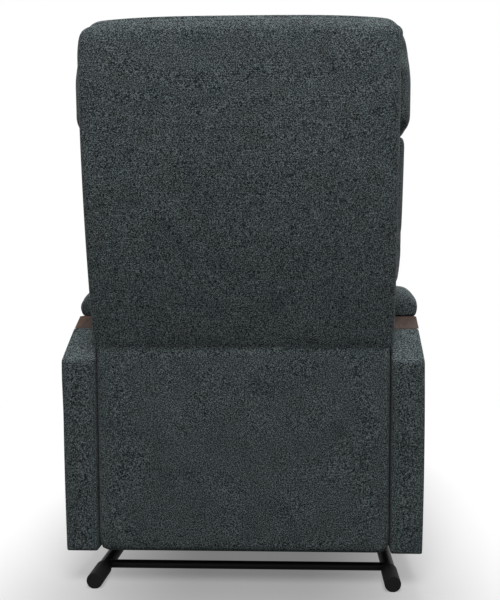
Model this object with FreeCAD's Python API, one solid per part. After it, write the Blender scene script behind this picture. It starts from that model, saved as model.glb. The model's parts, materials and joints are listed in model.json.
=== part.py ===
import FreeCAD, Part
import math
import os

# A wall hugger recliner: a tube base stays on the floor while the seat, arms and back roll
# forward on it and the back leans, so the chair can stand close to a wall. A lazy-tongs
# footrest folds out from under the seat. The chair faces -Y and +Z is up.
# Depths are measured forward from the plane of the arms' rear edge, and become Y at the end.

# Overall sizes, in millimetres and degrees
CHAIR_WIDTH = 762.0
ARM_WIDTH = 68.0
ARM_LENGTH = 760.0
FLOOR_GAP = 75.0
SOFT_GAP = 0.3
RUN_GAP = 0.05
SIDE_GAP = 3.0

# Tube base with its rubber caps and cross tubes
TUBE_RADIUS = 15.0
TUBE_WALL = 2.0
TUBE_UNDER_ARM = 4.0
TUBE_REAR = -10.0
TUBE_STOP_ROOM = 81.0
CAP_RADIUS = 17.5
CAP_FLAT = 1.0
CAP_LENGTH = 57.0
CAP_END = 2.0
CROSS_RADIUS = 8.75
CROSS_HEIGHT = 20.0
CROSS_REAR = 57.0
CROSS_ROLLER_ROOM = 13.0

# Grooved rollers and the carriages that hold them
GLIDE_TRAVEL = 180.0
ROLLER_GROOVE_RADIUS = 14.0
ROLLER_WIDTH = 20.0
ROLLER_REAR = 195.0
ROLLER_WHEELBASE = 290.0
AXLE_RADIUS = 4.0
AXLE_HEAD = 2.0
CARRIAGE_SHEET = 3.0
CARRIAGE_WIDTH = 28.0
CARRIAGE_OVERHANG = 30.0
CARRIAGE_SKIRT = 13.0
ROLLER_HEADROOM = 2.5

# Seat frame, springs and deck
PLATE_THICK = 3.0
PLATE_SET_IN = 28.0
PLATE_REAR = 215.0
PLATE_REAR_LOW = 250.0
PLATE_REAR_LOW_TOP = 210.0
PLATE_WINDOW_RADIUS = 38.0
PLATE_WINDOWS = 3
SEAT_RAIL_BOTTOM = 334.0
SEAT_RAIL_HEIGHT = 40.0
SEAT_RAIL_THICK = 22.0
SEAT_REAR = 205.0
SEAT_FRAME_SETBACK = 70.0
CORNER_BLOCK = 50.0
SPRING_COUNT = 5
SPRING_EDGE_SHARE = 0.7
SPRING_WIRE_RADIUS = 2.0
SPRING_LOOPS = 14
SPRING_STRAIGHT = 24.0
SPRING_LEADS = 2.9
CLIP_WIDTH = 16.0
CLIP_THICK = 7.5
DECK_THICK = 4.0

# Seat cushion
SEAT_CUSHION_SIDE_ROOM = 7.0
SEAT_CUSHION_REAR = 198.0
SEAT_CUSHION_SETBACK = 15.0
SEAT_CUSHION_THICK = 104.0
SEAT_NOSE_LIFT = 28.0
SEAT_NOSE_STEP = 2.0
SEAT_NOSE_CROWN = 5.0
SEAT_CROWN = 12.0
SEAT_CORNER = 22.0
SEAT_DRAW = 14.0

# Arms: covered panels, timber frames, walnut rails and pads
COVER_WALL = 10.0
ARM_REAR_CORNER = 488.0
ARM_PANEL_TOP = 551.0
ARM_SLOPE_RUN = 67.0
ARM_RAIL_THICK = 24.5
ARM_RAIL_SLOPE_RUN = 31.0
ARM_RAIL_ROUND = 6.0
ARM_PAD_THICK = 69.5
ARM_PAD_REAR = 106.0
ARM_PAD_SETBACK = 10.0
ARM_PAD_CROWN = 6.0
ARM_PAD_CORNER = 14.0
ARM_PAD_DRAW = 16.0
ARM_PAD_SIDE_DRAW = 5.0
ARM_TIMBER = 30.0
ARM_POST_DEPTH = 45.0
ARM_REAR_POST = 48.0
ARM_RAIL_HEIGHT = 35.0

# Back frame and covers
BACK_PIVOT_DEPTH = 70.0
BACK_PIVOT_HEIGHT = 430.0
CREASE_HEIGHT = 514.0
BACK_OVERHANG = 60.0
BACK_ROLL_HEIGHT = 1127.0
BACK_ROLL_RADIUS = 55.0
UPPER_BACK_SET_IN = 63.0
EAR_CLEARANCE = 8.0
LOWER_COVER_DEPTH = 30.0
POST_SET_IN = 45.0
POST_WIDTH = 22.0
POST_LOWER_THICK = 19.0
POST_UPPER_THICK = 35.0
POST_TOP = 1120.0
POST_LAP = 1.0
ROLL_EDGE = 1.0
BACK_RAIL_HEIGHT = 35.0
BACK_RAIL_BOTTOM = 86.0
BACK_RAIL_HINGE = 480.0
BACK_RAIL_MIDDLE = 770.0
BACK_RAIL_TOP = 1085.0
WEBBING_COUNT = 6
WEBBING_WIDTH = 50.0
WEBBING_THICK = 2.0
WEBBING_FIRST = 560.0
WEBBING_SPACING = 95.0

# Hinge between the back and the arms
HINGE_PLATE_THICK = 5.0
HINGE_PLATE_LOW = 385.0
HINGE_PLATE_HIGH = 475.0
HINGE_PLATE_FRONT = 95.0
HINGE_BOLT_INSET = 15.0
PIN_RADIUS = 6.0
PIN_TAIL = 6.0
PIN_REACH = 37.0
PIN_HEAD_RADIUS = 9.5
PIN_HEAD = 3.0
BUSH_WALL = 3.0
BUSH_FLANGE = 1.5
BUSH_FLANGE_RADIUS = 12.0
SPACER_WALL = 4.0

# Back cushions
HEAD_SET_IN = 32.0
HEAD_LOW = 953.0
HEAD_TOP = 1186.0
HEAD_THICK = 138.0
HEAD_TOP_CROWN = 6.0
LUMBAR_SET_IN = 42.0
LUMBAR_LOW = 650.0
LUMBAR_THICK = 126.0
LOWER_CUSHION_LOW = 486.0
LOWER_CUSHION_THICK = 126.0
CUSHION_SEAM_GAP = 3.0
CUSHION_SEAM_CROWN = 2.0
BACK_CROWN = 13.0
HEAD_CORNER = 46.0
HEAD_DRAW = 24.0
BACK_CORNER = 32.0
BACK_DRAW = 16.0

# Folding footrest: two crossed link pairs on each side
LINK_LENGTH = 240.0
LINK_CLOSED = 84.0
LINK_OPEN = 6.5
LINK_WIDTH = 20.0
LINK_THICK = 4.0
LINK_PIVOT_SETBACK = 120.0
LINK_PIVOT_HEIGHT = 318.0
LAYER_GAP = 1.5
RIVET_RADIUS = 4.0
RIVET_HEAD_RADIUS = 7.0
RIVET_HEAD = 0.9
RIVET_TAIL_HEAD = 1.8
RIVET_PLAY = 0.3
TORQUE_RADIUS = 10.0
TORQUE_WALL = 2.0
STUB_RADIUS = 5.0
STUB_REACH = 1.5
SLOT_ROD_RADIUS = 5.0
SLOT_PLAY = 0.5
BOARD_SETBACK = 64.0
BOARD_THICK = 15.0
BOARD_SIDE_ROOM = 23.0
BOARD_RISE = 80.0
BOARD_DROP = 240.0
FLANGE_WIDTH = 28.0
FLANGE_THICK = 3.0
GUSSET_TOP = 290.0
GUSSET_BOTTOM = 100.0
PAD_SIDE_ROOM = 13.0
PAD_THICK = 57.0
PAD_MARGIN = 4.0
PAD_CROWN = 10.0
PAD_CORNER = 16.0
PAD_DRAW = 12.0

# Release handle in the outer face of the right arm
CUP_SETBACK = 140.0
CUP_HEIGHT_CENTRE = 400.0
CUP_LENGTH = 120.0
CUP_HEIGHT = 76.0
CUP_DEPTH = 27.0
CUP_WALL = 2.5
PADDLE_LENGTH = 100.0
PADDLE_DROP = 34.0
PADDLE_THICK = 3.0
PADDLE_PIN_RADIUS = 2.0
PADDLE_EYE_RADIUS = 4.5
PADDLE_PIN_SETBACK = 8.0
PADDLE_PIN_DROP = 9.0

# How the soft pieces are drawn in towards their ends
SOFT_END_SHARE = 0.14
SOFT_END_STEPS = 5
SOFT_MIDDLE_STEPS = 4
SOFT_LEAST_BOW = 0.4
SOFT_FULLNESS_POWER = 3

# Bolts
BOLT_RADIUS = 4.0
BOLT_HEAD_RADIUS = 7.5
BOLT_HEAD = 4.0
BOLT_HEAD_ROOM = 1.0

# Places worked out from the sizes above
arm_outer = CHAIR_WIDTH / 2
arm_inner = arm_outer - ARM_WIDTH
lower_back_half = arm_inner - SIDE_GAP
upper_back_half = arm_outer - UPPER_BACK_SET_IN
tube_x = arm_inner + TUBE_UNDER_ARM
plate_inner = arm_inner - PLATE_SET_IN
post_x = arm_inner - POST_SET_IN
tube_height = CAP_RADIUS - CAP_FLAT
roller_height = tube_height + TUBE_RADIUS + SOFT_GAP + ROLLER_GROOVE_RADIUS
roller_front = ROLLER_REAR + ROLLER_WHEELBASE
roller_stop = roller_front + GLIDE_TRAVEL
tube_front = roller_stop + TUBE_STOP_ROOM
groove_radius = TUBE_RADIUS + SOFT_GAP
roller_rim = roller_height - tube_height - math.sqrt(groove_radius ** 2 - (ROLLER_WIDTH / 2) ** 2)
carriage_top = roller_height + roller_rim + ROLLER_HEADROOM + CARRIAGE_SHEET
seat_rail_top = SEAT_RAIL_BOTTOM + SEAT_RAIL_HEIGHT
plate_outer = plate_inner + PLATE_THICK
seat_rail_outer = arm_inner - SOFT_GAP
seat_frame_front = ARM_LENGTH - SEAT_FRAME_SETBACK
seat_cushion_front = ARM_LENGTH - SEAT_CUSHION_SETBACK
spring_room = seat_frame_front - SEAT_REAR - SEAT_RAIL_THICK
spring_loop_radius = spring_room / (2 * SPRING_LOOPS + SPRING_LEADS)
spring_spacing = 2 * plate_inner / (SPRING_COUNT + SPRING_EDGE_SHARE)
deck_bottom = seat_rail_top + CLIP_THICK + SOFT_GAP
cushion_bottom = deck_bottom + DECK_THICK + SOFT_GAP
seat_top = cushion_bottom + SEAT_CUSHION_THICK
arm_pad_front = ARM_LENGTH - ARM_PAD_SETBACK
arm_rail_top = ARM_PANEL_TOP + ARM_RAIL_THICK
arm_top = arm_rail_top + ARM_PAD_THICK
link_pivot_depth = ARM_LENGTH - LINK_PIVOT_SETBACK
board_back = link_pivot_depth + BOARD_SETBACK
board_front = board_back + BOARD_THICK
foremost = board_front + PAD_THICK
y_rear = (foremost - BACK_OVERHANG) / 2
lean_radius = ((BACK_ROLL_HEIGHT - CREASE_HEIGHT) ** 2 / BACK_OVERHANG + BACK_OVERHANG) / 2
link_spread = LINK_LENGTH * math.cos(math.radians(LINK_CLOSED))
link_fall = LINK_LENGTH * math.sin(math.radians(LINK_CLOSED))
link_fall_open = LINK_LENGTH * math.sin(math.radians(LINK_OPEN))
outer_layer = plate_inner - LAYER_GAP - LINK_THICK
inner_layer = outer_layer - LAYER_GAP - LINK_THICK
post_outer = post_x + POST_WIDTH
hinge_outer = post_outer + HINGE_PLATE_THICK
cup_depth_centre = ARM_LENGTH - CUP_SETBACK
back_rail_levels = (BACK_RAIL_BOTTOM, BACK_RAIL_HINGE, BACK_RAIL_MIDDLE, BACK_RAIL_TOP)
upper_cover_depth = COVER_WALL + SOFT_GAP + POST_UPPER_THICK + WEBBING_THICK + SOFT_GAP

# The link pivots, as depth and height, with the footrest folded
fixed_pivot = (link_pivot_depth, LINK_PIVOT_HEIGHT)
slot_pivot = (link_pivot_depth, LINK_PIVOT_HEIGHT - link_fall)
low_pivot = (link_pivot_depth + link_spread, LINK_PIVOT_HEIGHT - link_fall)
board_pivot = (link_pivot_depth + link_spread, LINK_PIVOT_HEIGHT)
first_crossing = (link_pivot_depth + link_spread / 2, LINK_PIVOT_HEIGHT - link_fall / 2)
second_crossing = (link_pivot_depth + link_spread * 1.5, LINK_PIVOT_HEIGHT - link_fall / 2)
board_arm_end = (link_pivot_depth + link_spread * 2, LINK_PIVOT_HEIGHT - link_fall)


def spot(x, depth, height):
    """A point of the chair from its place across, its depth and its height."""
    return FreeCAD.Vector(x, y_rear - depth, height)


def block(x_low, x_high, rear, front, low, high):
    """A square-edged solid between two depths."""
    corner = spot(x_low, front, low)
    return Part.makeBox(x_high - x_low, front - rear, high - low, corner)


def rod_across(x_low, x_high, depth, height, radius):
    """A round rod that runs across the chair."""
    return Part.makeCylinder(radius, x_high - x_low, spot(x_low, depth, height), FreeCAD.Vector(1, 0, 0))


def rod_along(x, rear, front, height, radius):
    """A round rod that runs from the rear to the front."""
    return Part.makeCylinder(radius, front - rear, spot(x, front, height), FreeCAD.Vector(0, 1, 0))


def slab(points, x_low, x_high):
    """A plate across the chair with a straight-sided outline of depths and heights."""
    corners = [spot(x_low, depth, height) for depth, height in points]
    face = Part.Face(Part.makePolygon(corners + corners[:1]))
    return face.extrude(FreeCAD.Vector(x_high - x_low, 0, 0))


def mirrored(solid):
    """The same piece on the other side of the chair."""
    return solid.mirror(FreeCAD.Vector(0, 0, 0), FreeCAD.Vector(1, 0, 0))


def on_side(solid, side):
    """A piece drawn on the left, or its mirror image for the right."""
    return solid if side > 0 else mirrored(solid)


def both_sides(solids):
    """A list of pieces drawn on the left, with their mirror images."""
    return solids + [mirrored(solid) for solid in solids]


def save(name, solids):
    """Write one named piece, or a group of like pieces."""
    shape = solids[0] if len(solids) == 1 else Part.makeCompound(solids)
    shape.exportStep("parts/" + name + ".step")


def side_edge(start, end, bulge, normal):
    """A side of a soft section, straight or bowed out by a bulge."""
    if bulge == 0:
        return Part.LineSegment(start, end).toShape()
    outward = (end - start).cross(normal)
    outward.normalize()
    middle = (start + end) * 0.5 + outward * bulge
    return Part.Arc(start, middle, end).toShape()


def soft_section(place, low_v, high_v, low_w, high_w, radius, bulges):
    """A rounded section with bowed sides; place turns its two coordinates into a point."""
    half_turn = math.sqrt(0.5)
    normal = (place(1, low_w) - place(0, low_w)).cross(place(0, high_w) - place(0, low_w))
    centres = (
        (high_v - radius, low_w + radius, 1, -1),
        (high_v - radius, high_w - radius, 1, 1),
        (low_v + radius, high_w - radius, -1, 1),
        (low_v + radius, low_w + radius, -1, -1),
    )
    arcs = []
    for index, (v, w, sign_v, sign_w) in enumerate(centres):
        first = place(v, w + sign_w * radius)
        second = place(v + sign_v * radius, w)
        middle = place(v + sign_v * radius * half_turn, w + sign_w * radius * half_turn)
        ends = (first, middle, second) if index % 2 == 0 else (second, middle, first)
        arcs.append(ends)
    edges = []
    for index, ends in enumerate(arcs):
        edges.append(Part.Arc(*ends).toShape())
        edges.append(side_edge(ends[2], arcs[(index + 1) % 4][0], bulges[index], normal))
    return Part.Wire(edges)


def end_stations():
    """Stations of a soft piece from -1 to 1, each with how far its section is drawn in."""
    start = 1 - SOFT_END_SHARE
    places = [start * step / SOFT_MIDDLE_STEPS for step in range(SOFT_MIDDLE_STEPS)]
    stations = [(place, 0.0) for place in places]
    for step in range(SOFT_END_STEPS + 1):
        share = math.sin(math.pi / 2 * step / SOFT_END_STEPS)
        stations.append((start + SOFT_END_SHARE * share, 1 - math.sqrt(max(0.0, 1 - share ** 2))))
    return [(-place, inset) for place, inset in reversed(stations[1:])] + stations


def fullness_at(station):
    """How much of its crown a soft piece has at a station from -1 to 1."""
    return 1 - abs(station) ** SOFT_FULLNESS_POWER


def soft_across(half, place, low_v, high_v, low_w, high_w, radius, bulges, draw_in):
    """A cushion drawn as sections from one side of the chair to the other."""
    sections = []
    for station, inset in end_stations():
        pull = draw_in * inset
        fullness = fullness_at(station)
        sections.append(
            soft_section(
                lambda v, w, x=half * station: place(x, v, w),
                low_v + pull,
                high_v - pull,
                low_w + pull,
                high_w - pull,
                radius - pull / 2,
                [bulge * fullness + SOFT_LEAST_BOW for bulge in bulges],
            )
        )
    return Part.makeLoft(sections, True, True)


def leaning_spot(x, forward, height):
    """A point in front of the upper cover's edge, following the back's lean."""
    return spot(x, lean_depth(height, upper_cover_depth) + forward, height)


def lean_depth(height, inset):
    """Depth of the back's curve at a height, a given distance in from its rear face."""
    if height <= CREASE_HEIGHT:
        return inset
    rise = min(height, BACK_ROLL_HEIGHT) - BACK_ROLL_HEIGHT
    return lean_radius - BACK_OVERHANG - math.sqrt((lean_radius - inset) ** 2 - rise ** 2)


def lean_strip(x_low, x_high, low, high, rear_inset, front_inset):
    """A plate across the chair that follows the back's curve between two heights."""
    middle = (low + high) / 2
    rear = [spot(x_low, lean_depth(height, rear_inset), height) for height in (low, middle, high)]
    front = [spot(x_low, lean_depth(height, front_inset), height) for height in (high, middle, low)]
    edges = [
        Part.Arc(*rear).toShape(),
        Part.LineSegment(rear[2], front[0]).toShape(),
        Part.Arc(*front).toShape(),
        Part.LineSegment(front[2], rear[0]).toShape(),
    ]
    return Part.Face(Part.Wire(edges)).extrude(FreeCAD.Vector(x_high - x_low, 0, 0))


def base_rail():
    """A round floor tube on the left."""
    outer = rod_along(tube_x, TUBE_REAR, tube_front, tube_height, TUBE_RADIUS)
    bore = rod_along(tube_x, TUBE_REAR, tube_front, tube_height, TUBE_RADIUS - TUBE_WALL)
    return outer.cut(bore)


def cross_tube(depth):
    """A thin tube between the floor tubes, its ends coped to their round sides."""
    outer = rod_across(-tube_x, tube_x, depth, CROSS_HEIGHT, CROSS_RADIUS)
    bore = rod_across(-tube_x, tube_x, depth, CROSS_HEIGHT, CROSS_RADIUS - TUBE_WALL)
    tube = outer.cut(bore)
    for side in (-1, 1):
        tube = tube.cut(rod_along(side * tube_x, TUBE_REAR, tube_front, tube_height, TUBE_RADIUS))
    return tube


def rail_cap(rear, closed_at_rear):
    """A rubber cap over a tube end, cut flat where it stands on the floor."""
    front = rear + CAP_LENGTH
    body = rod_along(tube_x, rear, front, tube_height, CAP_RADIUS)
    body = body.makeFillet(CAP_END, [edge for edge in body.Edges if edge.Closed])
    bore_rear = rear + CAP_END if closed_at_rear else rear
    bore_front = front if closed_at_rear else front - CAP_END
    bore = rod_along(tube_x, bore_rear, bore_front, tube_height, TUBE_RADIUS + RUN_GAP)
    below = block(tube_x - CAP_RADIUS, tube_x + CAP_RADIUS, rear, front, -CAP_RADIUS, 0)
    return body.cut(bore).cut(below)


def roller(depth):
    """A wheel whose rim is hollowed to ride on top of the floor tube."""
    half = ROLLER_WIDTH / 2
    bore = AXLE_RADIUS + RUN_GAP
    corners = [
        FreeCAD.Vector(-half, bore, 0),
        FreeCAD.Vector(-half, roller_rim, 0),
        FreeCAD.Vector(0, ROLLER_GROOVE_RADIUS, 0),
        FreeCAD.Vector(half, roller_rim, 0),
        FreeCAD.Vector(half, bore, 0),
    ]
    edges = [
        Part.LineSegment(corners[0], corners[1]).toShape(),
        Part.Arc(corners[1], corners[2], corners[3]).toShape(),
        Part.LineSegment(corners[3], corners[4]).toShape(),
        Part.LineSegment(corners[4], corners[0]).toShape(),
    ]
    face = Part.Face(Part.Wire(edges))
    wheel = face.revolve(FreeCAD.Vector(0, 0, 0), FreeCAD.Vector(1, 0, 0), 360)
    wheel.translate(spot(tube_x, depth, roller_height))
    return wheel


def carriage():
    """A steel channel over one floor tube, with a lip that carries the side plate."""
    rear = ROLLER_REAR - CARRIAGE_OVERHANG
    front = roller_front + CARRIAGE_OVERHANG
    outer = tube_x + CARRIAGE_WIDTH / 2
    inner = tube_x - CARRIAGE_WIDTH / 2
    low = roller_height - CARRIAGE_SKIRT
    web_low = carriage_top - CARRIAGE_SHEET
    web = block(plate_inner, outer, rear, front, web_low, carriage_top)
    outer_leg = block(outer - CARRIAGE_SHEET, outer, rear, front, low, web_low)
    inner_leg = block(inner, inner + CARRIAGE_SHEET, rear, front, low, web_low)
    channel = web.fuse([outer_leg, inner_leg]).removeSplitter()
    for depth in (ROLLER_REAR, roller_front):
        channel = channel.cut(rod_across(inner, outer, depth, roller_height, AXLE_RADIUS + RUN_GAP))
    return channel


def roller_axle(depth):
    """A headed axle through both legs of a carriage."""
    outer = tube_x + CARRIAGE_WIDTH / 2
    inner = tube_x - CARRIAGE_WIDTH / 2
    shaft = rod_across(inner - AXLE_HEAD, outer + AXLE_HEAD, depth, roller_height, AXLE_RADIUS)
    inner_head = rod_across(inner - AXLE_HEAD, inner, depth, roller_height, AXLE_RADIUS + AXLE_HEAD)
    outer_head = rod_across(outer, outer + AXLE_HEAD, depth, roller_height, AXLE_RADIUS + AXLE_HEAD)
    return shaft.fuse([inner_head, outer_head]).removeSplitter()


def stadium(start, end, width, x_low, x_high):
    """A flat link with round ends between two pivots."""
    run_d = end[0] - start[0]
    run_z = end[1] - start[1]
    length = math.hypot(run_d, run_z)
    along = (run_d / length * width / 2, run_z / length * width / 2)
    across = (-along[1], along[0])
    start_a = spot(x_low, start[0] + across[0], start[1] + across[1])
    start_b = spot(x_low, start[0] - across[0], start[1] - across[1])
    start_tip = spot(x_low, start[0] - along[0], start[1] - along[1])
    end_a = spot(x_low, end[0] + across[0], end[1] + across[1])
    end_b = spot(x_low, end[0] - across[0], end[1] - across[1])
    end_tip = spot(x_low, end[0] + along[0], end[1] + along[1])
    edges = [
        Part.Arc(start_b, start_tip, start_a).toShape(),
        Part.LineSegment(start_a, end_a).toShape(),
        Part.Arc(end_a, end_tip, end_b).toShape(),
        Part.LineSegment(end_b, start_b).toShape(),
    ]
    return Part.Face(Part.Wire(edges)).extrude(FreeCAD.Vector(x_high - x_low, 0, 0))


def bored(solid, x_low, x_high, pivots, radius):
    """A plate with a round hole at each pivot."""
    for depth, height in pivots:
        solid = solid.cut(rod_across(x_low, x_high, depth, height, radius))
    return solid


def side_plate():
    """The steel plate that carries the footrest links and stands on the carriage."""
    front = link_pivot_depth + BOLT_HEAD_RADIUS * 2
    outline = [
        (PLATE_REAR_LOW, carriage_top),
        (front, carriage_top),
        (front, seat_rail_top),
        (PLATE_REAR, seat_rail_top),
        (PLATE_REAR, PLATE_REAR_LOW_TOP),
    ]
    plate = slab(outline, plate_inner, plate_outer)
    slot_top = (link_pivot_depth, LINK_PIVOT_HEIGHT - link_fall_open)
    slot_width = 2 * (SLOT_ROD_RADIUS + SLOT_PLAY)
    plate = plate.cut(stadium(slot_pivot, slot_top, slot_width, plate_inner, plate_outer))
    plate = bored(plate, plate_inner, plate_outer, [fixed_pivot], STUB_RADIUS + RUN_GAP)
    window_height = (carriage_top + SEAT_RAIL_BOTTOM) / 2
    window_step = (link_pivot_depth - PLATE_REAR_LOW) / (PLATE_WINDOWS + 1)
    for step in range(PLATE_WINDOWS):
        depth = PLATE_REAR_LOW + window_step * (step + 1)
        window = rod_across(plate_inner, plate_outer, depth, window_height, PLATE_WINDOW_RADIUS)
        plate = plate.cut(window)
    return bored(plate, plate_inner, plate_outer, frame_bolt_places(), BOLT_RADIUS + RUN_GAP)


def frame_bolt_places():
    """Depths and heights of the bolts through a side plate, a seat rail and an arm."""
    height = SEAT_RAIL_BOTTOM + SEAT_RAIL_HEIGHT / 2
    return [(SEAT_REAR + CORNER_BLOCK, height), (seat_frame_front - CORNER_BLOCK * 2, height)]


def seat_side_rail():
    """A timber rail between the side plate and the arm."""
    rail = block(plate_outer, seat_rail_outer, SEAT_REAR, seat_frame_front, SEAT_RAIL_BOTTOM, seat_rail_top)
    return bored(rail, plate_outer, seat_rail_outer, frame_bolt_places(), BOLT_RADIUS + RUN_GAP)


def seat_end_rail(rear):
    """A timber rail across the seat, between the side plates."""
    front = rear + SEAT_RAIL_THICK
    return block(-plate_inner, plate_inner, rear, front, SEAT_RAIL_BOTTOM, seat_rail_top)


def corner_block(corner_depth, toward):
    """A three-sided block in an inner corner of the seat frame."""
    x_low = plate_inner - CORNER_BLOCK
    corners = [
        spot(plate_inner, corner_depth, SEAT_RAIL_BOTTOM),
        spot(plate_inner, corner_depth + toward * CORNER_BLOCK, SEAT_RAIL_BOTTOM),
        spot(x_low, corner_depth, SEAT_RAIL_BOTTOM),
    ]
    face = Part.Face(Part.makePolygon(corners + corners[:1]))
    block_solid = face.extrude(FreeCAD.Vector(0, 0, SEAT_RAIL_HEIGHT))
    bolt_depth, bolt_height = frame_bolt_places()[0]
    head_room = BOLT_HEAD_RADIUS + BOLT_HEAD_ROOM
    return block_solid.cut(rod_across(x_low, plate_inner, bolt_depth, bolt_height, head_room))


def seat_spring(x):
    """A zigzag wire spring from the rear rail to the front rail."""
    height = seat_rail_top + CLIP_THICK / 2
    rear = SEAT_REAR + SEAT_RAIL_THICK / 2
    front = seat_frame_front - SEAT_RAIL_THICK / 2
    run = 2 * spring_loop_radius * SPRING_LOOPS
    lead = (front - rear - run) / 2
    half = SPRING_STRAIGHT / 2
    depth = rear
    corner = spot(x, depth, height)
    next_corner = spot(x, depth + lead - spring_loop_radius, height)
    edges = [Part.LineSegment(corner, next_corner).toShape()]
    depth += lead - spring_loop_radius
    side = 1
    turn = spring_loop_radius * math.sqrt(0.5)
    first_mid = spot(x + spring_loop_radius - turn, depth + turn, height)
    first_end = spot(x + spring_loop_radius, depth + spring_loop_radius, height)
    edges.append(Part.Arc(next_corner, first_mid, first_end).toShape())
    depth += spring_loop_radius
    place = x + spring_loop_radius
    for loop in range(SPRING_LOOPS):
        reach = x + side * (half + spring_loop_radius)
        edges.append(Part.LineSegment(spot(place, depth, height), spot(reach, depth, height)).toShape())
        bend_mid = spot(reach + side * spring_loop_radius, depth + spring_loop_radius, height)
        bend_end = spot(reach, depth + 2 * spring_loop_radius, height)
        edges.append(Part.Arc(spot(reach, depth, height), bend_mid, bend_end).toShape())
        depth += 2 * spring_loop_radius
        place = reach
        side = -side
    home = x - side * spring_loop_radius
    edges.append(Part.LineSegment(spot(place, depth, height), spot(home, depth, height)).toShape())
    last_mid = spot(x - side * (spring_loop_radius - turn), depth + spring_loop_radius - turn, height)
    last_end = spot(x, depth + spring_loop_radius, height)
    edges.append(Part.Arc(spot(home, depth, height), last_mid, last_end).toShape())
    edges.append(Part.LineSegment(last_end, spot(x, front, height)).toShape())
    path = Part.Wire(edges)
    circle = Part.Circle(spot(x, rear, height), FreeCAD.Vector(0, 1, 0), SPRING_WIRE_RADIUS)
    return path.makePipeShell([Part.Wire(circle.toShape())], True, False)


def spring_clip(x, depth):
    """A clip on a seat rail that grips one end of a spring."""
    half = CLIP_WIDTH / 2
    body = block(x - half, x + half, depth - half, depth + half, seat_rail_top, seat_rail_top + CLIP_THICK)
    height = seat_rail_top + CLIP_THICK / 2
    return body.cut(rod_along(x, depth - half, depth + half, height, SPRING_WIRE_RADIUS + RUN_GAP))


def seat_section(x, pull, fullness):
    """A section of the seat cushion, with its nose raised clear of the folding footrest."""
    rear = SEAT_CUSHION_REAR + pull
    front = seat_cushion_front - SEAT_NOSE_CROWN - pull
    low = cushion_bottom
    high = seat_top - SEAT_CROWN - SOFT_LEAST_BOW - pull
    nose_rear = seat_frame_front + SEAT_NOSE_STEP
    nose_low = cushion_bottom + SEAT_NOSE_LIFT
    turn = SEAT_CORNER
    half_turn = turn * (1 - math.sqrt(0.5))
    corners = [
        (rear, low),
        (nose_rear, low),
        (nose_rear, nose_low),
        (front - turn, nose_low),
        (front, nose_low + turn),
        (front, high - turn),
        (front - turn, high),
        (rear + turn, high),
        (rear, high - turn),
    ]
    middles = {
        3: (front - half_turn, nose_low + half_turn),
        4: (front + SOFT_LEAST_BOW + SEAT_NOSE_CROWN * fullness, (nose_low + high) / 2),
        5: (front - half_turn, high - half_turn),
        6: ((front + rear) / 2, high + SOFT_LEAST_BOW + SEAT_CROWN * fullness),
        7: (rear + half_turn, high - half_turn),
    }
    edges = []
    for index, (depth, height) in enumerate(corners):
        start = spot(x, depth, height)
        end = spot(x, *corners[(index + 1) % len(corners)])
        if index in middles:
            edges.append(Part.Arc(start, spot(x, *middles[index]), end).toShape())
        else:
            edges.append(Part.LineSegment(start, end).toShape())
    return Part.Wire(edges)


def seat_cushion():
    """A crowned seat cushion with drawn-in ends and a rolled front."""
    half = arm_inner - SEAT_CUSHION_SIDE_ROOM
    sections = [
        seat_section(half * station, SEAT_DRAW * inset, fullness_at(station))
        for station, inset in end_stations()
    ]
    return Part.makeLoft(sections, True, True)


def arm_outline(inset):
    """Outline of an arm's covered panel, drawn in by its wall."""
    slope = ARM_SLOPE_RUN / (ARM_PANEL_TOP - ARM_REAR_CORNER)
    slant = math.hypot(1, slope)
    rear_corner = ARM_REAR_CORNER + inset / slope - inset * slant / slope
    top_corner = ARM_SLOPE_RUN + inset * slant - inset * slope
    return [
        (inset, FLOOR_GAP),
        (ARM_LENGTH - inset, FLOOR_GAP),
        (ARM_LENGTH - inset, ARM_PANEL_TOP - inset),
        (top_corner, ARM_PANEL_TOP - inset),
        (inset, rear_corner),
    ]


def arm_cover(side):
    """A covered arm panel, hollow and open underneath."""
    outer = slab(arm_outline(0), arm_inner, arm_outer)
    hollow = slab(arm_outline(COVER_WALL), arm_inner + COVER_WALL, arm_outer - COVER_WALL)
    cover = outer.cut(hollow)
    pin_hole = [(BACK_PIVOT_DEPTH, BACK_PIVOT_HEIGHT)]
    cover = bored(cover, arm_inner, arm_inner + COVER_WALL, pin_hole, PIN_RADIUS + RUN_GAP)
    cover = bored(cover, arm_inner, arm_inner + COVER_WALL, frame_bolt_places(), BOLT_RADIUS + RUN_GAP)
    if side < 0:
        cover = cover.cut(cup_block(SOFT_GAP))
    return on_side(cover, side)


def arm_frame():
    """Posts and rails inside an arm panel, as separate timbers."""
    low = arm_inner + COVER_WALL + SOFT_GAP
    high = low + ARM_TIMBER
    bottom = FLOOR_GAP + COVER_WALL
    top = ARM_PANEL_TOP - COVER_WALL - SOFT_GAP
    front_post_rear = ARM_LENGTH - COVER_WALL - SOFT_GAP - ARM_POST_DEPTH
    front_end = ARM_LENGTH - COVER_WALL - SOFT_GAP
    rear_end = ARM_REAR_POST + ARM_POST_DEPTH
    top_low = top - ARM_RAIL_HEIGHT
    room = slab(arm_outline(COVER_WALL + SOFT_GAP), low, high)
    timbers = [
        block(low, high, ARM_REAR_POST, rear_end, bottom, top),
        block(low, high, front_post_rear, front_end, bottom, top),
        block(low, high, rear_end, front_post_rear, top_low, top),
        block(low, high, rear_end, front_post_rear, bottom, bottom + ARM_RAIL_HEIGHT),
        block(low, high, rear_end, front_post_rear, SEAT_RAIL_BOTTOM, seat_rail_top),
    ]
    bored_timbers = []
    for timber in timbers:
        timber = bored(timber.common(room), low, high, frame_bolt_places(), BOLT_RADIUS + RUN_GAP)
        pin_hole = [(BACK_PIVOT_DEPTH, BACK_PIVOT_HEIGHT)]
        bored_timbers.append(bored(timber, low, high, pin_hole, PIN_RADIUS + RUN_GAP))
    return bored_timbers


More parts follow.
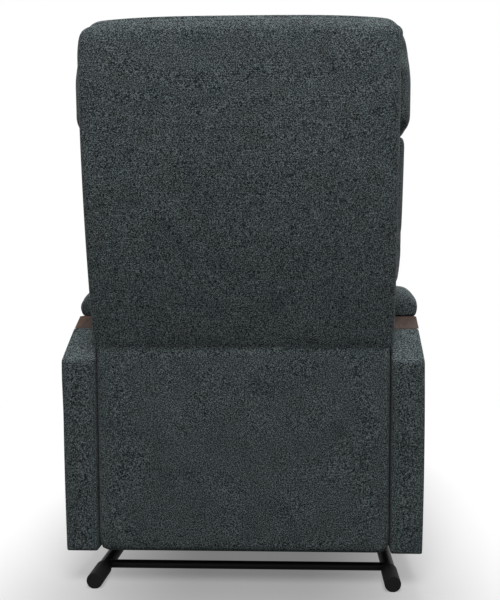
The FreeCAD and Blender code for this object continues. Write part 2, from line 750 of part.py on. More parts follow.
def arm_rail():
    """A walnut rail on top of an arm panel, its rear end cut to the arm's slope."""
    outline = [
        (ARM_SLOPE_RUN, ARM_PANEL_TOP),
        (ARM_LENGTH, ARM_PANEL_TOP),
        (ARM_LENGTH, arm_rail_top),
        (ARM_SLOPE_RUN + ARM_RAIL_SLOPE_RUN, arm_rail_top),
    ]
    rail = slab(outline, arm_inner, arm_outer)
    upright = [
        edge
        for edge in rail.Edges
        if abs(edge.Length - ARM_RAIL_THICK) < SOFT_GAP and edge.BoundBox.ZLength > ARM_RAIL_THICK / 2
    ]
    return rail.makeFillet(ARM_RAIL_ROUND, upright)


def arm_pad():
    """A crowned pad on the walnut rail."""
    middle = (arm_pad_front + ARM_PAD_REAR) / 2
    half = (arm_pad_front - ARM_PAD_REAR) / 2
    low = arm_rail_top + SOFT_GAP
    high = arm_top - ARM_PAD_CROWN - SOFT_LEAST_BOW
    sections = []
    for station, inset in end_stations():
        fullness = fullness_at(station)
        side_pull = SOFT_LEAST_BOW + ARM_PAD_SIDE_DRAW * inset
        sections.append(
            soft_section(
                lambda v, w, depth=middle + half * station: spot(v, depth, w),
                arm_inner + side_pull,
                arm_outer - side_pull,
                low,
                high - ARM_PAD_DRAW * inset,
                ARM_PAD_CORNER,
                [SOFT_LEAST_BOW, ARM_PAD_CROWN * fullness + SOFT_LEAST_BOW, SOFT_LEAST_BOW, 0],
            )
        )
    return Part.makeLoft(sections, True, True)


def cup_block(extra):
    """The outside of the release cup on the left, with room round it."""
    half_length = CUP_LENGTH / 2 + extra
    half_height = CUP_HEIGHT / 2 + extra
    return block(
        arm_outer - CUP_DEPTH - extra,
        arm_outer,
        cup_depth_centre - half_length,
        cup_depth_centre + half_length,
        CUP_HEIGHT_CENTRE - half_height,
        CUP_HEIGHT_CENTRE + half_height,
    )


def paddle_pin_place():
    """Place across and height of the release paddle's pin, on the left."""
    return (arm_outer - PADDLE_PIN_SETBACK, CUP_HEIGHT_CENTRE + CUP_HEIGHT / 2 - PADDLE_PIN_DROP)


def release_cup():
    """A recessed cup that a hand reaches into."""
    half_length = CUP_LENGTH / 2 - CUP_WALL
    half_height = CUP_HEIGHT / 2 - CUP_WALL
    hollow = block(
        arm_outer - CUP_DEPTH + CUP_WALL,
        arm_outer,
        cup_depth_centre - half_length,
        cup_depth_centre + half_length,
        CUP_HEIGHT_CENTRE - half_height,
        CUP_HEIGHT_CENTRE + half_height,
    )
    x, height = paddle_pin_place()
    rear = cup_depth_centre - CUP_LENGTH / 2
    pin = rod_along(x, rear, rear + CUP_LENGTH, height, PADDLE_PIN_RADIUS)
    return mirrored(cup_block(0).cut(hollow).cut(pin))


def release_pin():
    """The pin that the release paddle swings on."""
    x, height = paddle_pin_place()
    rear = cup_depth_centre - CUP_LENGTH / 2
    return mirrored(rod_along(x, rear, rear + CUP_LENGTH, height, PADDLE_PIN_RADIUS))


def release_paddle():
    """A plate that hangs in the cup from its pin and is pulled outwards."""
    x, height = paddle_pin_place()
    rear = cup_depth_centre - PADDLE_LENGTH / 2
    front = cup_depth_centre + PADDLE_LENGTH / 2
    eye = rod_along(x, rear, front, height, PADDLE_EYE_RADIUS)
    outer = x + PADDLE_EYE_RADIUS
    plate = block(outer - PADDLE_THICK, outer, rear, front, height - PADDLE_DROP, height)
    lip_radius = PADDLE_THICK
    lip = rod_along(outer - lip_radius, rear, front, height - PADDLE_DROP, lip_radius)
    paddle = eye.fuse([plate, lip]).removeSplitter()
    return mirrored(paddle.cut(rod_along(x, rear, front, height, PADDLE_PIN_RADIUS + RUN_GAP)))


def lower_back_cover():
    """The narrow lower part of the outside back, between the arms."""
    outer = block(-lower_back_half, lower_back_half, 0, LOWER_COVER_DEPTH, FLOOR_GAP, CREASE_HEIGHT)
    half = lower_back_half - COVER_WALL
    low = FLOOR_GAP + COVER_WALL
    return outer.cut(block(-half, half, COVER_WALL, LOWER_COVER_DEPTH, low, CREASE_HEIGHT))


def roll_outline(x, inset, low, front_inset):
    """Outline of the upper back: its leaning curve, its rolled top and its front edge."""
    start = spot(x, lean_depth(low, inset), low)
    middle_height = (low + BACK_ROLL_HEIGHT) / 2
    middle = spot(x, lean_depth(middle_height, inset), middle_height)
    roll_start = spot(x, lean_depth(BACK_ROLL_HEIGHT, inset), BACK_ROLL_HEIGHT)
    radius = BACK_ROLL_RADIUS - inset
    centre_depth = BACK_ROLL_RADIUS - BACK_OVERHANG
    turn = radius * math.sqrt(0.5)
    roll_middle = spot(x, centre_depth - turn, BACK_ROLL_HEIGHT + turn)
    roll_end = spot(x, centre_depth, BACK_ROLL_HEIGHT + radius)
    front_top = spot(x, centre_depth + ROLL_EDGE, BACK_ROLL_HEIGHT + radius)
    front_bend = spot(x, lean_depth(BACK_ROLL_HEIGHT, front_inset), BACK_ROLL_HEIGHT)
    front_middle = spot(x, lean_depth(middle_height, front_inset), middle_height)
    front_low = spot(x, lean_depth(low, front_inset), low)
    edges = [
        Part.Arc(start, middle, roll_start).toShape(),
        Part.Arc(roll_start, roll_middle, roll_end).toShape(),
        Part.LineSegment(roll_end, front_top).toShape(),
        Part.LineSegment(front_top, front_bend).toShape(),
        Part.Arc(front_bend, front_middle, front_low).toShape(),
        Part.LineSegment(front_low, start).toShape(),
    ]
    return Part.Face(Part.Wire(edges))


def upper_back_cover():
    """The wide leaning part of the outside back, hollow and open towards the cushions."""
    width = FreeCAD.Vector(2 * upper_back_half, 0, 0)
    outer = roll_outline(-upper_back_half, 0, CREASE_HEIGHT, upper_cover_depth).extrude(width)
    half = upper_back_half - COVER_WALL
    hollow = roll_outline(-half, COVER_WALL, CREASE_HEIGHT, upper_cover_depth + COVER_WALL)
    cover = outer.cut(hollow.extrude(FreeCAD.Vector(2 * half, 0, 0)))
    raised_arm = [(depth, height + EAR_CLEARANCE) for depth, height in arm_outline(0)]
    cover = cover.cut(both_sides([slab(raised_arm, lower_back_half, arm_outer)]))
    bolster_rear = lean_depth(BACK_ROLL_HEIGHT, upper_cover_depth)
    roll_top = BACK_ROLL_HEIGHT + BACK_ROLL_RADIUS
    bolster_room = block(
        -upper_back_half, upper_back_half, bolster_rear, BACK_ROLL_RADIUS, BACK_ROLL_HEIGHT, roll_top
    )
    return cover.cut(bolster_room)


def back_post():
    """A timber post that stands straight at the hinge and follows the lean above it."""
    low_rear = COVER_WALL + SOFT_GAP
    low_front = low_rear + POST_LOWER_THICK
    bottom = FLOOR_GAP + COVER_WALL + SOFT_GAP
    lower = block(post_x, post_outer, low_rear, low_front, bottom, CREASE_HEIGHT)
    high_front = low_rear + POST_UPPER_THICK
    upper_low = CREASE_HEIGHT + POST_LAP
    upper = lean_strip(post_x, post_outer, upper_low, POST_TOP, low_rear, high_front)
    joint_low = CREASE_HEIGHT - POST_LAP
    joint = block(post_x, post_outer, low_rear + POST_LAP, low_front, joint_low, upper_low + POST_LAP)
    post = lower.fuse([upper, joint]).removeSplitter()
    return bored(post, post_x, post_outer, hinge_bolt_places(), BOLT_RADIUS + RUN_GAP)


def back_rail(low):
    """A timber rail between the back posts at one height."""
    rear_inset = COVER_WALL + SOFT_GAP
    thick = POST_LOWER_THICK if low < CREASE_HEIGHT else POST_UPPER_THICK - POST_LOWER_THICK
    high = low + BACK_RAIL_HEIGHT
    if high < CREASE_HEIGHT:
        return block(-post_x, post_x, rear_inset, rear_inset + thick, low, high)
    if low < CREASE_HEIGHT:
        return block(-post_x, post_x, rear_inset, rear_inset + thick, low, CREASE_HEIGHT)
    return lean_strip(-post_x, post_x, low, high, rear_inset, rear_inset + thick)


def webbing_band(low):
    """An elastic band stretched across the fronts of the back posts."""
    rear = COVER_WALL + SOFT_GAP + POST_UPPER_THICK + RUN_GAP
    high = low + WEBBING_WIDTH
    return lean_strip(-post_outer, post_outer, low, high, rear, rear + WEBBING_THICK)


def hinge_bolt_places():
    """Depths and heights of the bolts that hold a hinge plate to its post."""
    depth = COVER_WALL + SOFT_GAP + POST_LOWER_THICK / 2
    return [(depth, HINGE_PLATE_LOW + HINGE_BOLT_INSET), (depth, HINGE_PLATE_HIGH - HINGE_BOLT_INSET)]


def hinge_plate():
    """A steel plate on a back post that carries the recline pivot."""
    rear = COVER_WALL + SOFT_GAP
    outline = [
        (rear, HINGE_PLATE_LOW),
        (LOWER_COVER_DEPTH, HINGE_PLATE_LOW),
        (HINGE_PLATE_FRONT, BACK_PIVOT_HEIGHT - PIN_HEAD_RADIUS * 2),
        (HINGE_PLATE_FRONT, BACK_PIVOT_HEIGHT + PIN_HEAD_RADIUS * 2),
        (LOWER_COVER_DEPTH, HINGE_PLATE_HIGH),
        (rear, HINGE_PLATE_HIGH),
    ]
    plate = slab(outline, post_outer, hinge_outer)
    pivot = [(BACK_PIVOT_DEPTH, BACK_PIVOT_HEIGHT)]
    plate = bored(plate, post_outer, hinge_outer, pivot, PIN_RADIUS + RUN_GAP + BUSH_WALL)
    return bored(plate, post_outer, hinge_outer, hinge_bolt_places(), BOLT_RADIUS + RUN_GAP)


def hinge_bush():
    """A flanged nylon bush in a hinge plate."""
    inner = post_outer
    outer = hinge_outer + BUSH_FLANGE
    barrel_radius = PIN_RADIUS + RUN_GAP + BUSH_WALL - RUN_GAP / 2
    barrel = rod_across(inner, outer, BACK_PIVOT_DEPTH, BACK_PIVOT_HEIGHT, barrel_radius)
    flange = rod_across(hinge_outer, outer, BACK_PIVOT_DEPTH, BACK_PIVOT_HEIGHT, BUSH_FLANGE_RADIUS)
    pivot = [(BACK_PIVOT_DEPTH, BACK_PIVOT_HEIGHT)]
    return bored(barrel.fuse(flange).removeSplitter(), inner, outer, pivot, PIN_RADIUS + RUN_GAP)


def pivot_pin():
    """A headed pin fixed in an arm, which the back turns on."""
    place = (BACK_PIVOT_DEPTH, BACK_PIVOT_HEIGHT)
    shaft = rod_across(post_outer - PIN_TAIL, arm_inner + PIN_REACH, *place, PIN_RADIUS)
    head_outer = post_outer - SOFT_GAP
    head = rod_across(head_outer - PIN_HEAD, head_outer, *place, PIN_HEAD_RADIUS)
    return shaft.fuse(head).removeSplitter()


def pivot_spacer():
    """A ring on the pivot pin that keeps the back off the arm."""
    inner = hinge_outer + BUSH_FLANGE + SOFT_GAP
    outer = arm_inner
    radius = PIN_RADIUS + RUN_GAP + SPACER_WALL
    ring = rod_across(inner, outer, BACK_PIVOT_DEPTH, BACK_PIVOT_HEIGHT, radius)
    return bored(ring, inner, outer, [(BACK_PIVOT_DEPTH, BACK_PIVOT_HEIGHT)], PIN_RADIUS + RUN_GAP)


def bolt(x_low, x_high, depth, height):
    """A bolt across the chair with a head at its inner end."""
    shaft = rod_across(x_low, x_high, depth, height, BOLT_RADIUS)
    head = rod_across(x_low - BOLT_HEAD, x_low, depth, height, BOLT_HEAD_RADIUS)
    return shaft.fuse(head).removeSplitter()


def link(start, end, x_low, holes, radius):
    """A footrest link with a hole at each of its pivots."""
    bar = stadium(start, end, LINK_WIDTH, x_low, x_low + LINK_THICK)
    return bored(bar, x_low, x_low + LINK_THICK, holes, radius)


def rivet(pivot):
    """A headed rivet through both link layers at a pivot."""
    depth, height = pivot
    inner = inner_layer - RIVET_PLAY
    outer = outer_layer + LINK_THICK
    shaft = rod_across(inner, outer, depth, height, RIVET_RADIUS)
    inner_head = rod_across(inner - RIVET_TAIL_HEAD, inner, depth, height, RIVET_HEAD_RADIUS)
    outer_head = rod_across(outer, outer + RIVET_HEAD, depth, height, RIVET_HEAD_RADIUS)
    return shaft.fuse([inner_head, outer_head]).removeSplitter()


def footrest_arm():
    """The driven link, from the fixed pivot down to the low pivot."""
    x_low = outer_layer
    arm = link(fixed_pivot, low_pivot, x_low, [first_crossing, low_pivot], RIVET_RADIUS + RUN_GAP)
    return bored(arm, x_low, x_low + LINK_THICK, [fixed_pivot], STUB_RADIUS + RUN_GAP)


def cross_link():
    """The link that crosses the driven one, from the slot up to the footboard's pivot."""
    x_low = inner_layer
    bar = link(slot_pivot, board_pivot, x_low, [first_crossing, board_pivot], RIVET_RADIUS + RUN_GAP)
    return bored(bar, x_low, x_low + LINK_THICK, [slot_pivot], SLOT_ROD_RADIUS + RUN_GAP)


def stay_link():
    """The short link from the low pivot to the footboard's arm."""
    ends = [low_pivot, second_crossing]
    return link(low_pivot, second_crossing, inner_layer, ends, RIVET_RADIUS + RUN_GAP)


def footboard_arm():
    """The front link, with a gusset and a turned flange that hold the footboard."""
    x_low = outer_layer
    x_high = x_low + LINK_THICK
    bar = stadium(board_pivot, board_arm_end, LINK_WIDTH, x_low, x_high)
    lean = link_spread / link_fall
    gusset = [
        (board_pivot[0] + (board_pivot[1] - GUSSET_TOP) * lean, GUSSET_TOP),
        (board_back, GUSSET_TOP),
        (board_back, GUSSET_BOTTOM),
        (board_pivot[0] + (board_pivot[1] - GUSSET_BOTTOM) * lean, GUSSET_BOTTOM),
    ]
    flange_rear = board_back - FLANGE_THICK
    flange = block(x_high - FLANGE_WIDTH, x_high, flange_rear, board_back, GUSSET_BOTTOM, GUSSET_TOP)
    arm = bar.fuse([slab(gusset, x_low, x_high), flange]).removeSplitter()
    return bored(arm, x_low, x_high, [board_pivot, second_crossing], RIVET_RADIUS + RUN_GAP)


def torque_tube():
    """The tube that joins the driven links, with a pivot stub at each end."""
    depth, height = fixed_pivot
    reach = outer_layer
    tube = rod_across(-reach, reach, depth, height, TORQUE_RADIUS)
    bore_reach = reach - TORQUE_RADIUS
    tube = tube.cut(rod_across(-bore_reach, bore_reach, depth, height, TORQUE_RADIUS - TORQUE_WALL))
    stub_reach = plate_outer + STUB_REACH
    left = rod_across(reach, stub_reach, depth, height, STUB_RADIUS)
    return tube.fuse([left, mirrored(left)]).removeSplitter()


def slot_rod():
    """The rod that joins the crossing links and slides in the side plates' slots."""
    reach = plate_outer + STUB_REACH
    return rod_across(-reach, reach, slot_pivot[0], slot_pivot[1], SLOT_ROD_RADIUS)


def footboard():
    """The plywood board behind the footrest pad."""
    half = plate_inner - BOARD_SIDE_ROOM
    low = LINK_PIVOT_HEIGHT - BOARD_DROP
    return block(-half, half, board_back, board_front, low, LINK_PIVOT_HEIGHT + BOARD_RISE)


def footrest_pad():
    """The crowned pad on the footboard."""
    half = arm_inner - PAD_SIDE_ROOM
    low = LINK_PIVOT_HEIGHT - BOARD_DROP - PAD_MARGIN
    high = LINK_PIVOT_HEIGHT + BOARD_RISE + PAD_MARGIN
    rear = board_front + SOFT_GAP + SOFT_LEAST_BOW
    front = foremost - PAD_CROWN - SOFT_LEAST_BOW
    bulges = [PAD_CROWN, 0, 0, 0]
    return soft_across(half, spot, rear, front, low, high, PAD_CORNER, bulges, PAD_DRAW)


def back_cushion(half, low, high, thick, top_crown, corner, draw_in):
    """A cushion of the back, in front of the upper cover and leaning with it."""
    low += CUSHION_SEAM_CROWN + SOFT_LEAST_BOW
    high -= top_crown + SOFT_LEAST_BOW
    rear_bow = (high - low - 2 * corner) ** 2 / (8 * lean_radius)
    bulges = [BACK_CROWN, top_crown, rear_bow, CUSHION_SEAM_CROWN]
    rear = SOFT_GAP + SOFT_LEAST_BOW
    return soft_across(half, leaning_spot, rear, thick, low, high, corner, bulges, draw_in)


def head_cushion():
    """The head bolster, which rolls over the top of the back."""
    half = arm_outer - HEAD_SET_IN
    low = HEAD_LOW + CUSHION_SEAM_GAP / 2
    return back_cushion(half, low, HEAD_TOP, HEAD_THICK, HEAD_TOP_CROWN, HEAD_CORNER, HEAD_DRAW)


def lumbar_cushion():
    """The middle cushion of the back, above the arms."""
    half = arm_outer - LUMBAR_SET_IN
    high = HEAD_LOW - CUSHION_SEAM_GAP / 2
    crown = CUSHION_SEAM_CROWN
    return back_cushion(half, LUMBAR_LOW, high, LUMBAR_THICK, crown, BACK_CORNER, BACK_DRAW)


def lower_back_cushion():
    """The bottom cushion of the back, between the arms."""
    high = LUMBAR_LOW - CUSHION_SEAM_GAP
    half = arm_inner - 2 * SIDE_GAP
    crown = CUSHION_SEAM_CROWN
    return back_cushion(half, LOWER_CUSHION_LOW, high, LOWER_CUSHION_THICK, crown, BACK_CORNER, BACK_DRAW)


os.makedirs("parts", exist_ok=True)

# Base
for name, side in (("left", 1), ("right", -1)):
    save("base_rail_" + name, [on_side(base_rail(), side)])
save("base_cross_tube_rear", [cross_tube(CROSS_REAR)])
save("base_cross_tube_front", [cross_tube(roller_stop + CROSS_ROLLER_ROOM)])
save("rail_caps_rear", both_sides([rail_cap(TUBE_REAR - CAP_END, True)]))
save("rail_caps_front", both_sides([rail_cap(tube_front + CAP_END - CAP_LENGTH, False)]))

# Rollers and carriages
for name, side in (("left", 1), ("right", -1)):
    save("roller_rear_" + name, [on_side(roller(ROLLER_REAR), side)])
    save("roller_front_" + name, [on_side(roller(roller_front), side)])
    save("carriage_" + name, [on_side(carriage(), side)])
save("roller_axles", both_sides([roller_axle(ROLLER_REAR), roller_axle(roller_front)]))

# Seat frame
for name, side in (("left", 1), ("right", -1)):
    save("side_plate_" + name, [on_side(side_plate(), side)])
save("seat_side_rails", both_sides([seat_side_rail()]))
save("seat_rear_rail", [seat_end_rail(SEAT_REAR)])
save("seat_front_rail", [seat_end_rail(seat_frame_front - SEAT_RAIL_THICK)])
rear_corner = corner_block(SEAT_REAR + SEAT_RAIL_THICK, 1)
front_corner = corner_block(seat_frame_front - SEAT_RAIL_THICK, -1)
save("corner_blocks", both_sides([rear_corner, front_corner]))
spring_places = [spring_spacing * (index - (SPRING_COUNT - 1) / 2) for index in range(SPRING_COUNT)]
save("seat_springs", [seat_spring(x) for x in spring_places])
clip_depths = (SEAT_REAR + SEAT_RAIL_THICK / 2, seat_frame_front - SEAT_RAIL_THICK / 2)
save("spring_clips", [spring_clip(x, depth) for x in spring_places for depth in clip_depths])
deck_top = deck_bottom + DECK_THICK
save(
    "seat_deck",
    [block(-plate_inner, plate_inner, SEAT_REAR, seat_frame_front, deck_bottom, deck_top)],
)
save("seat_cushion", [seat_cushion()])
frame_bolts = [
    bolt(plate_inner - SOFT_GAP, arm_inner + COVER_WALL + ARM_TIMBER, depth, height)
    for depth, height in frame_bolt_places()
]
save("frame_bolts", both_sides(frame_bolts))

# Arms
for name, side in (("left", 1), ("right", -1)):
    save("arm_cover_" + name, [arm_cover(side)])
    save("arm_frame_" + name, [on_side(timber, side) for timber in arm_frame()])
    save("arm_rail_" + name, [on_side(arm_rail(), side)])
    save("arm_pad_" + name, [on_side(arm_pad(), side)])
save("release_cup", [release_cup()])
save("release_pin", [release_pin()])
save("release_paddle", [release_paddle()])

# Back
save("lower_back_cover", [lower_back_cover()])
save("upper_back_cover", [upper_back_cover()])
save("back_posts", both_sides([back_post()]))
save("back_rails", [back_rail(level) for level in back_rail_levels])
band_levels = [WEBBING_FIRST + WEBBING_SPACING * index for index in range(WEBBING_COUNT)]
save("back_webbing", [webbing_band(level) for level in band_levels])
save("hinge_plates", both_sides([hinge_plate()]))
save("hinge_bushes", both_sides([hinge_bush()]))
save("pivot_pins", both_sides([pivot_pin()]))
save("pivot_spacers", both_sides([pivot_spacer()]))
hinge_bolts = [bolt(post_x, hinge_outer, depth, height) for depth, height in hinge_bolt_places()]
save("hinge_bolts", both_sides(hinge_bolts))
save("head_cushion", [head_cushion()])
save("lumbar_cushion", [lumbar_cushion()])
save("lower_back_cushion", [lower_back_cushion()])

# Footrest
save("footrest_arms", both_sides([footrest_arm()]))
save("footrest_torque_tube", [torque_tube()])
save("footrest_arm_rivets", both_sides([rivet(first_crossing), rivet(low_pivot)]))
save("cross_links", both_sides([cross_link()]))
save("slot_rod", [slot_rod()])
save("stay_links", both_sides([stay_link()]))
save("footboard_arms", both_sides([footboard_arm()]))
save("footboard_rivets", both_sides([rivet(board_pivot), rivet(second_crossing)]))
save("footboard", [footboard()])
save("footrest_pad", [footrest_pad()])
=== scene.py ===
import json
import math
from collections import namedtuple

import bmesh
import bpy
from bpy.props import FloatProperty, FloatVectorProperty, IntProperty, PointerProperty
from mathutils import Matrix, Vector, noise


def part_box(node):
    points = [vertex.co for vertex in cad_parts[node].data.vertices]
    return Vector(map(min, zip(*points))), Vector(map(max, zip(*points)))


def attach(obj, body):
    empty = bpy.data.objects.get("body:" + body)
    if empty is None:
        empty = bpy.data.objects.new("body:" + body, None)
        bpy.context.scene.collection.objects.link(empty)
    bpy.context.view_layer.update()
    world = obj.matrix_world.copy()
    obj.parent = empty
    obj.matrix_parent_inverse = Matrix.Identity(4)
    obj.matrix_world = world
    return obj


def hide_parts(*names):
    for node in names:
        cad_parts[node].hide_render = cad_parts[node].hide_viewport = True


bl_info = {
    "name": "Wall hugger recliner",
    "version": (1, 0, 0),
    "blender": (4, 5, 0),
    "location": "3D View > Sidebar > Recliner",
    "description": "Upholsters and finishes a wall hugger recliner round its packed frame",
    "category": "Object",
}

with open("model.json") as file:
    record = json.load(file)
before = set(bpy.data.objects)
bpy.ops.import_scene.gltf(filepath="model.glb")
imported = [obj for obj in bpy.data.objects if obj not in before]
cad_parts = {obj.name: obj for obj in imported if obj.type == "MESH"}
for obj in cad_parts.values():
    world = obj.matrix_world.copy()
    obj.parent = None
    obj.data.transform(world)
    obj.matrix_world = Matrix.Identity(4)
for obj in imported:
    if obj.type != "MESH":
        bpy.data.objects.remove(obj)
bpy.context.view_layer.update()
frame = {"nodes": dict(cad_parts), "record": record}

# Places shared with the frame, in metres. Depths are measured forward from the arms' rear edge.
ARM_LOW, ARM_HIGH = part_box("arm_cover_left")
REAR_Y = ARM_HIGH.y
PANEL_BOTTOM = ARM_LOW.z
ARM_REAR_CORNER = 0.488
ARM_SLOPE_RUN = 0.067
UPPER_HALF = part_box("upper_back_cover")[1].x
LOWER_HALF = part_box("lower_back_cover")[1].x
CREASE_HEIGHT = 0.514
ROLL_HEIGHT = 1.127
ROLL_RADIUS = 0.055
ROLL_FULLNESS = 0.005
BACK_TOP = ROLL_HEIGHT + ROLL_RADIUS
OVERHANG = 0.060
COVER_DEPTH = 0.0476
LOWER_COVER_DEPTH = 0.030
LEAN_RADIUS = ((ROLL_HEIGHT - CREASE_HEIGHT) ** 2 / OVERHANG + OVERHANG) / 2
HAIR = 0.0003
CUT_SLACK = 1e-5

# The materials by slot, filled by the finishes step
finishes = {}


def depth_of(y):
    """Depth forward from the arms' rear edge."""
    return REAR_Y - y


def lean_depth(height, inset=0.0):
    """Depth of the back's leaning curve at a height, a given distance in from its rear face."""
    if height <= CREASE_HEIGHT:
        return inset
    rise = min(height, ROLL_HEIGHT) - ROLL_HEIGHT
    return LEAN_RADIUS - OVERHANG - math.sqrt((LEAN_RADIUS - inset) ** 2 - rise ** 2)


def ease(value, start, end):
    """A smooth step from 0 at start to 1 at end."""
    share = min(1.0, max(0.0, (value - start) / (end - start)))
    return share * share * (3 - 2 * share)


def ripple(place, scale, seed=0.0):
    """A soft random number from -1 to 1 that is the same on each run."""
    return noise.noise(place * scale + Vector((seed, seed * 1.7, seed * 0.3)))


# Mesh making


def block_mesh(low, high):
    """A bmesh box between two corners."""
    mesh = bmesh.new()
    bmesh.ops.create_cube(mesh, size=1.0)
    bmesh.ops.scale(mesh, vec=Vector(high) - Vector(low), verts=mesh.verts)
    bmesh.ops.translate(mesh, vec=(Vector(high) + Vector(low)) / 2, verts=mesh.verts)
    return mesh


def cut_mesh(mesh, place, normal, clear=False):
    """Cuts a mesh along a plane, and can clear away what lies beyond it."""
    bmesh.ops.bisect_plane(
        mesh,
        geom=mesh.verts[:] + mesh.edges[:] + mesh.faces[:],
        dist=CUT_SLACK,
        plane_co=place,
        plane_no=normal,
        clear_outer=clear,
    )


def slice_mesh(mesh, axis, places):
    """Cuts a mesh along planes square to an axis, so that it can be shaped between them."""
    normal = Vector((0, 0, 0))
    normal[axis] = 1.0
    for place in places:
        cut_mesh(mesh, normal * place, normal)


def even_places(low, high, step):
    """Places between two ends, about a step apart, without the ends."""
    count = max(1, round((high - low) / step))
    return [low + (high - low) * index / count for index in range(1, count)]


def divide_spans(mesh, axis, start, end, step):
    """Divides the edges that run the whole way between two planes into even steps."""
    spans = [
        edge for edge in mesh.edges
        if {round((vertex.co[axis] - start) / (end - start), 3) for vertex in edge.verts}
        == {0.0, 1.0}
    ]
    cuts = max(1, round((end - start) / step)) - 1
    if cuts:
        bmesh.ops.subdivide_edges(mesh, edges=spans, cuts=cuts)


def round_edges(mesh, edges, radius, segments):
    """Rounds some of a mesh's edges."""
    bmesh.ops.bevel(
        mesh, geom=edges, offset=radius, segments=segments,
        profile=0.5, affect="EDGES", material=-1,
    )


def soft_block(low, high, radius, step):
    """A round-edged box whose faces are an even grid."""
    mesh = block_mesh(low, high)
    round_edges(mesh, mesh.edges[:], radius, max(2, round(math.pi / 2 * radius / step)))
    for axis in range(3):
        divide_spans(mesh, axis, low[axis] + radius, high[axis] - radius, step)
    return mesh


def thicken(mesh, thickness):
    """Gives an open cover its thickness."""
    bmesh.ops.recalc_face_normals(mesh, faces=mesh.faces)
    bmesh.ops.solidify(mesh, geom=mesh.faces[:], thickness=thickness)


def finish_piece(name, mesh, body, subdivide=1):
    """Turns a bmesh into an upholstered object that rides on a body."""
    bmesh.ops.recalc_face_normals(mesh, faces=mesh.faces)
    for face in mesh.faces:
        face.smooth = True
    data = bpy.data.meshes.new(name)
    mesh.to_mesh(data)
    mesh.free()
    data.materials.append(finishes["upholstery"])
    piece = bpy.data.objects.new(name, data)
    bpy.context.scene.collection.objects.link(piece)
    if subdivide:
        smooth = piece.modifiers.new("Soft", "SUBSURF")
        smooth.levels = smooth.render_levels = subdivide
    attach(piece, body)
    return piece


# A soft pad: its object, the points that are held, the furthest that a point may move, the axis
# across its two seams, the seams' places and the frame node that it stands for
Pad = namedtuple("Pad", "piece pinned cap axis seams node")


def puff(pads, pressure, frames):
    """Blows up closed covers as cloth, holds their pinned points and applies the result."""
    scene = bpy.context.scene
    for piece, pinned, *_ in pads:
        group = piece.vertex_groups.new(name="held")
        group.add(sorted(pinned), 1.0, "REPLACE")
        cloth = piece.modifiers.new("Cover", "CLOTH")
        piece.modifiers.move(len(piece.modifiers) - 1, 0)
        cloth.settings.use_pressure = True
        cloth.settings.uniform_pressure_force = pressure
        cloth.settings.vertex_group_mass = group.name
        cloth.settings.quality = 5
        cloth.settings.tension_stiffness = 12
        cloth.settings.compression_stiffness = 12
        cloth.settings.shear_stiffness = 5
        cloth.settings.bending_stiffness = 0.6
        cloth.settings.effector_weights.gravity = 0
        cloth.collision_settings.use_collision = False
        cloth.point_cache.frame_start = 1
        cloth.point_cache.frame_end = frames
        for modifier in piece.modifiers[1:]:
            modifier.show_viewport = False
    for number in range(1, frames + 1):
        scene.frame_set(number)
    depsgraph = bpy.context.evaluated_depsgraph_get()
    for piece, _, cap, *_ in pads:
        blown = [vertex.co.copy() for vertex in piece.evaluated_get(depsgraph).data.vertices]
        piece.modifiers.remove(piece.modifiers[0])
        for vertex, place in zip(piece.data.vertices, blown):
            move = place - vertex.co
            if move.length > cap:
                move *= cap / move.length
            vertex.co += move
        for modifier in piece.modifiers:
            modifier.show_viewport = True
        piece.vertex_groups.clear()
    scene.frame_set(1)


# Shader making


class Value:
    """A socket whose sums and products become nodes."""

    def __init__(self, paint, socket):
        self.paint = paint
        self.socket = socket

    def combine(self, operation, *terms):
        return self.paint.node("ShaderNodeMath", {"operation": operation}, dict(enumerate(terms)))

    def __add__(self, other):
        return self.combine("ADD", self, other)

    def __radd__(self, other):
        return self.combine("ADD", other, self)

    def __sub__(self, other):
        return self.combine("SUBTRACT", self, other)

    def __rsub__(self, other):
        return self.combine("SUBTRACT", other, self)

    def __mul__(self, other):
        return self.combine("MULTIPLY", self, other)

    def sine(self):
        return self.combine("SINE", self)

    def clipped(self):
        return self.paint.node("ShaderNodeClamp", {}, {0: self})

    def rise(self, start, gain):
        """0 up to a start, then up to 1 at a given gain."""
        return ((self - start) * gain).clipped()


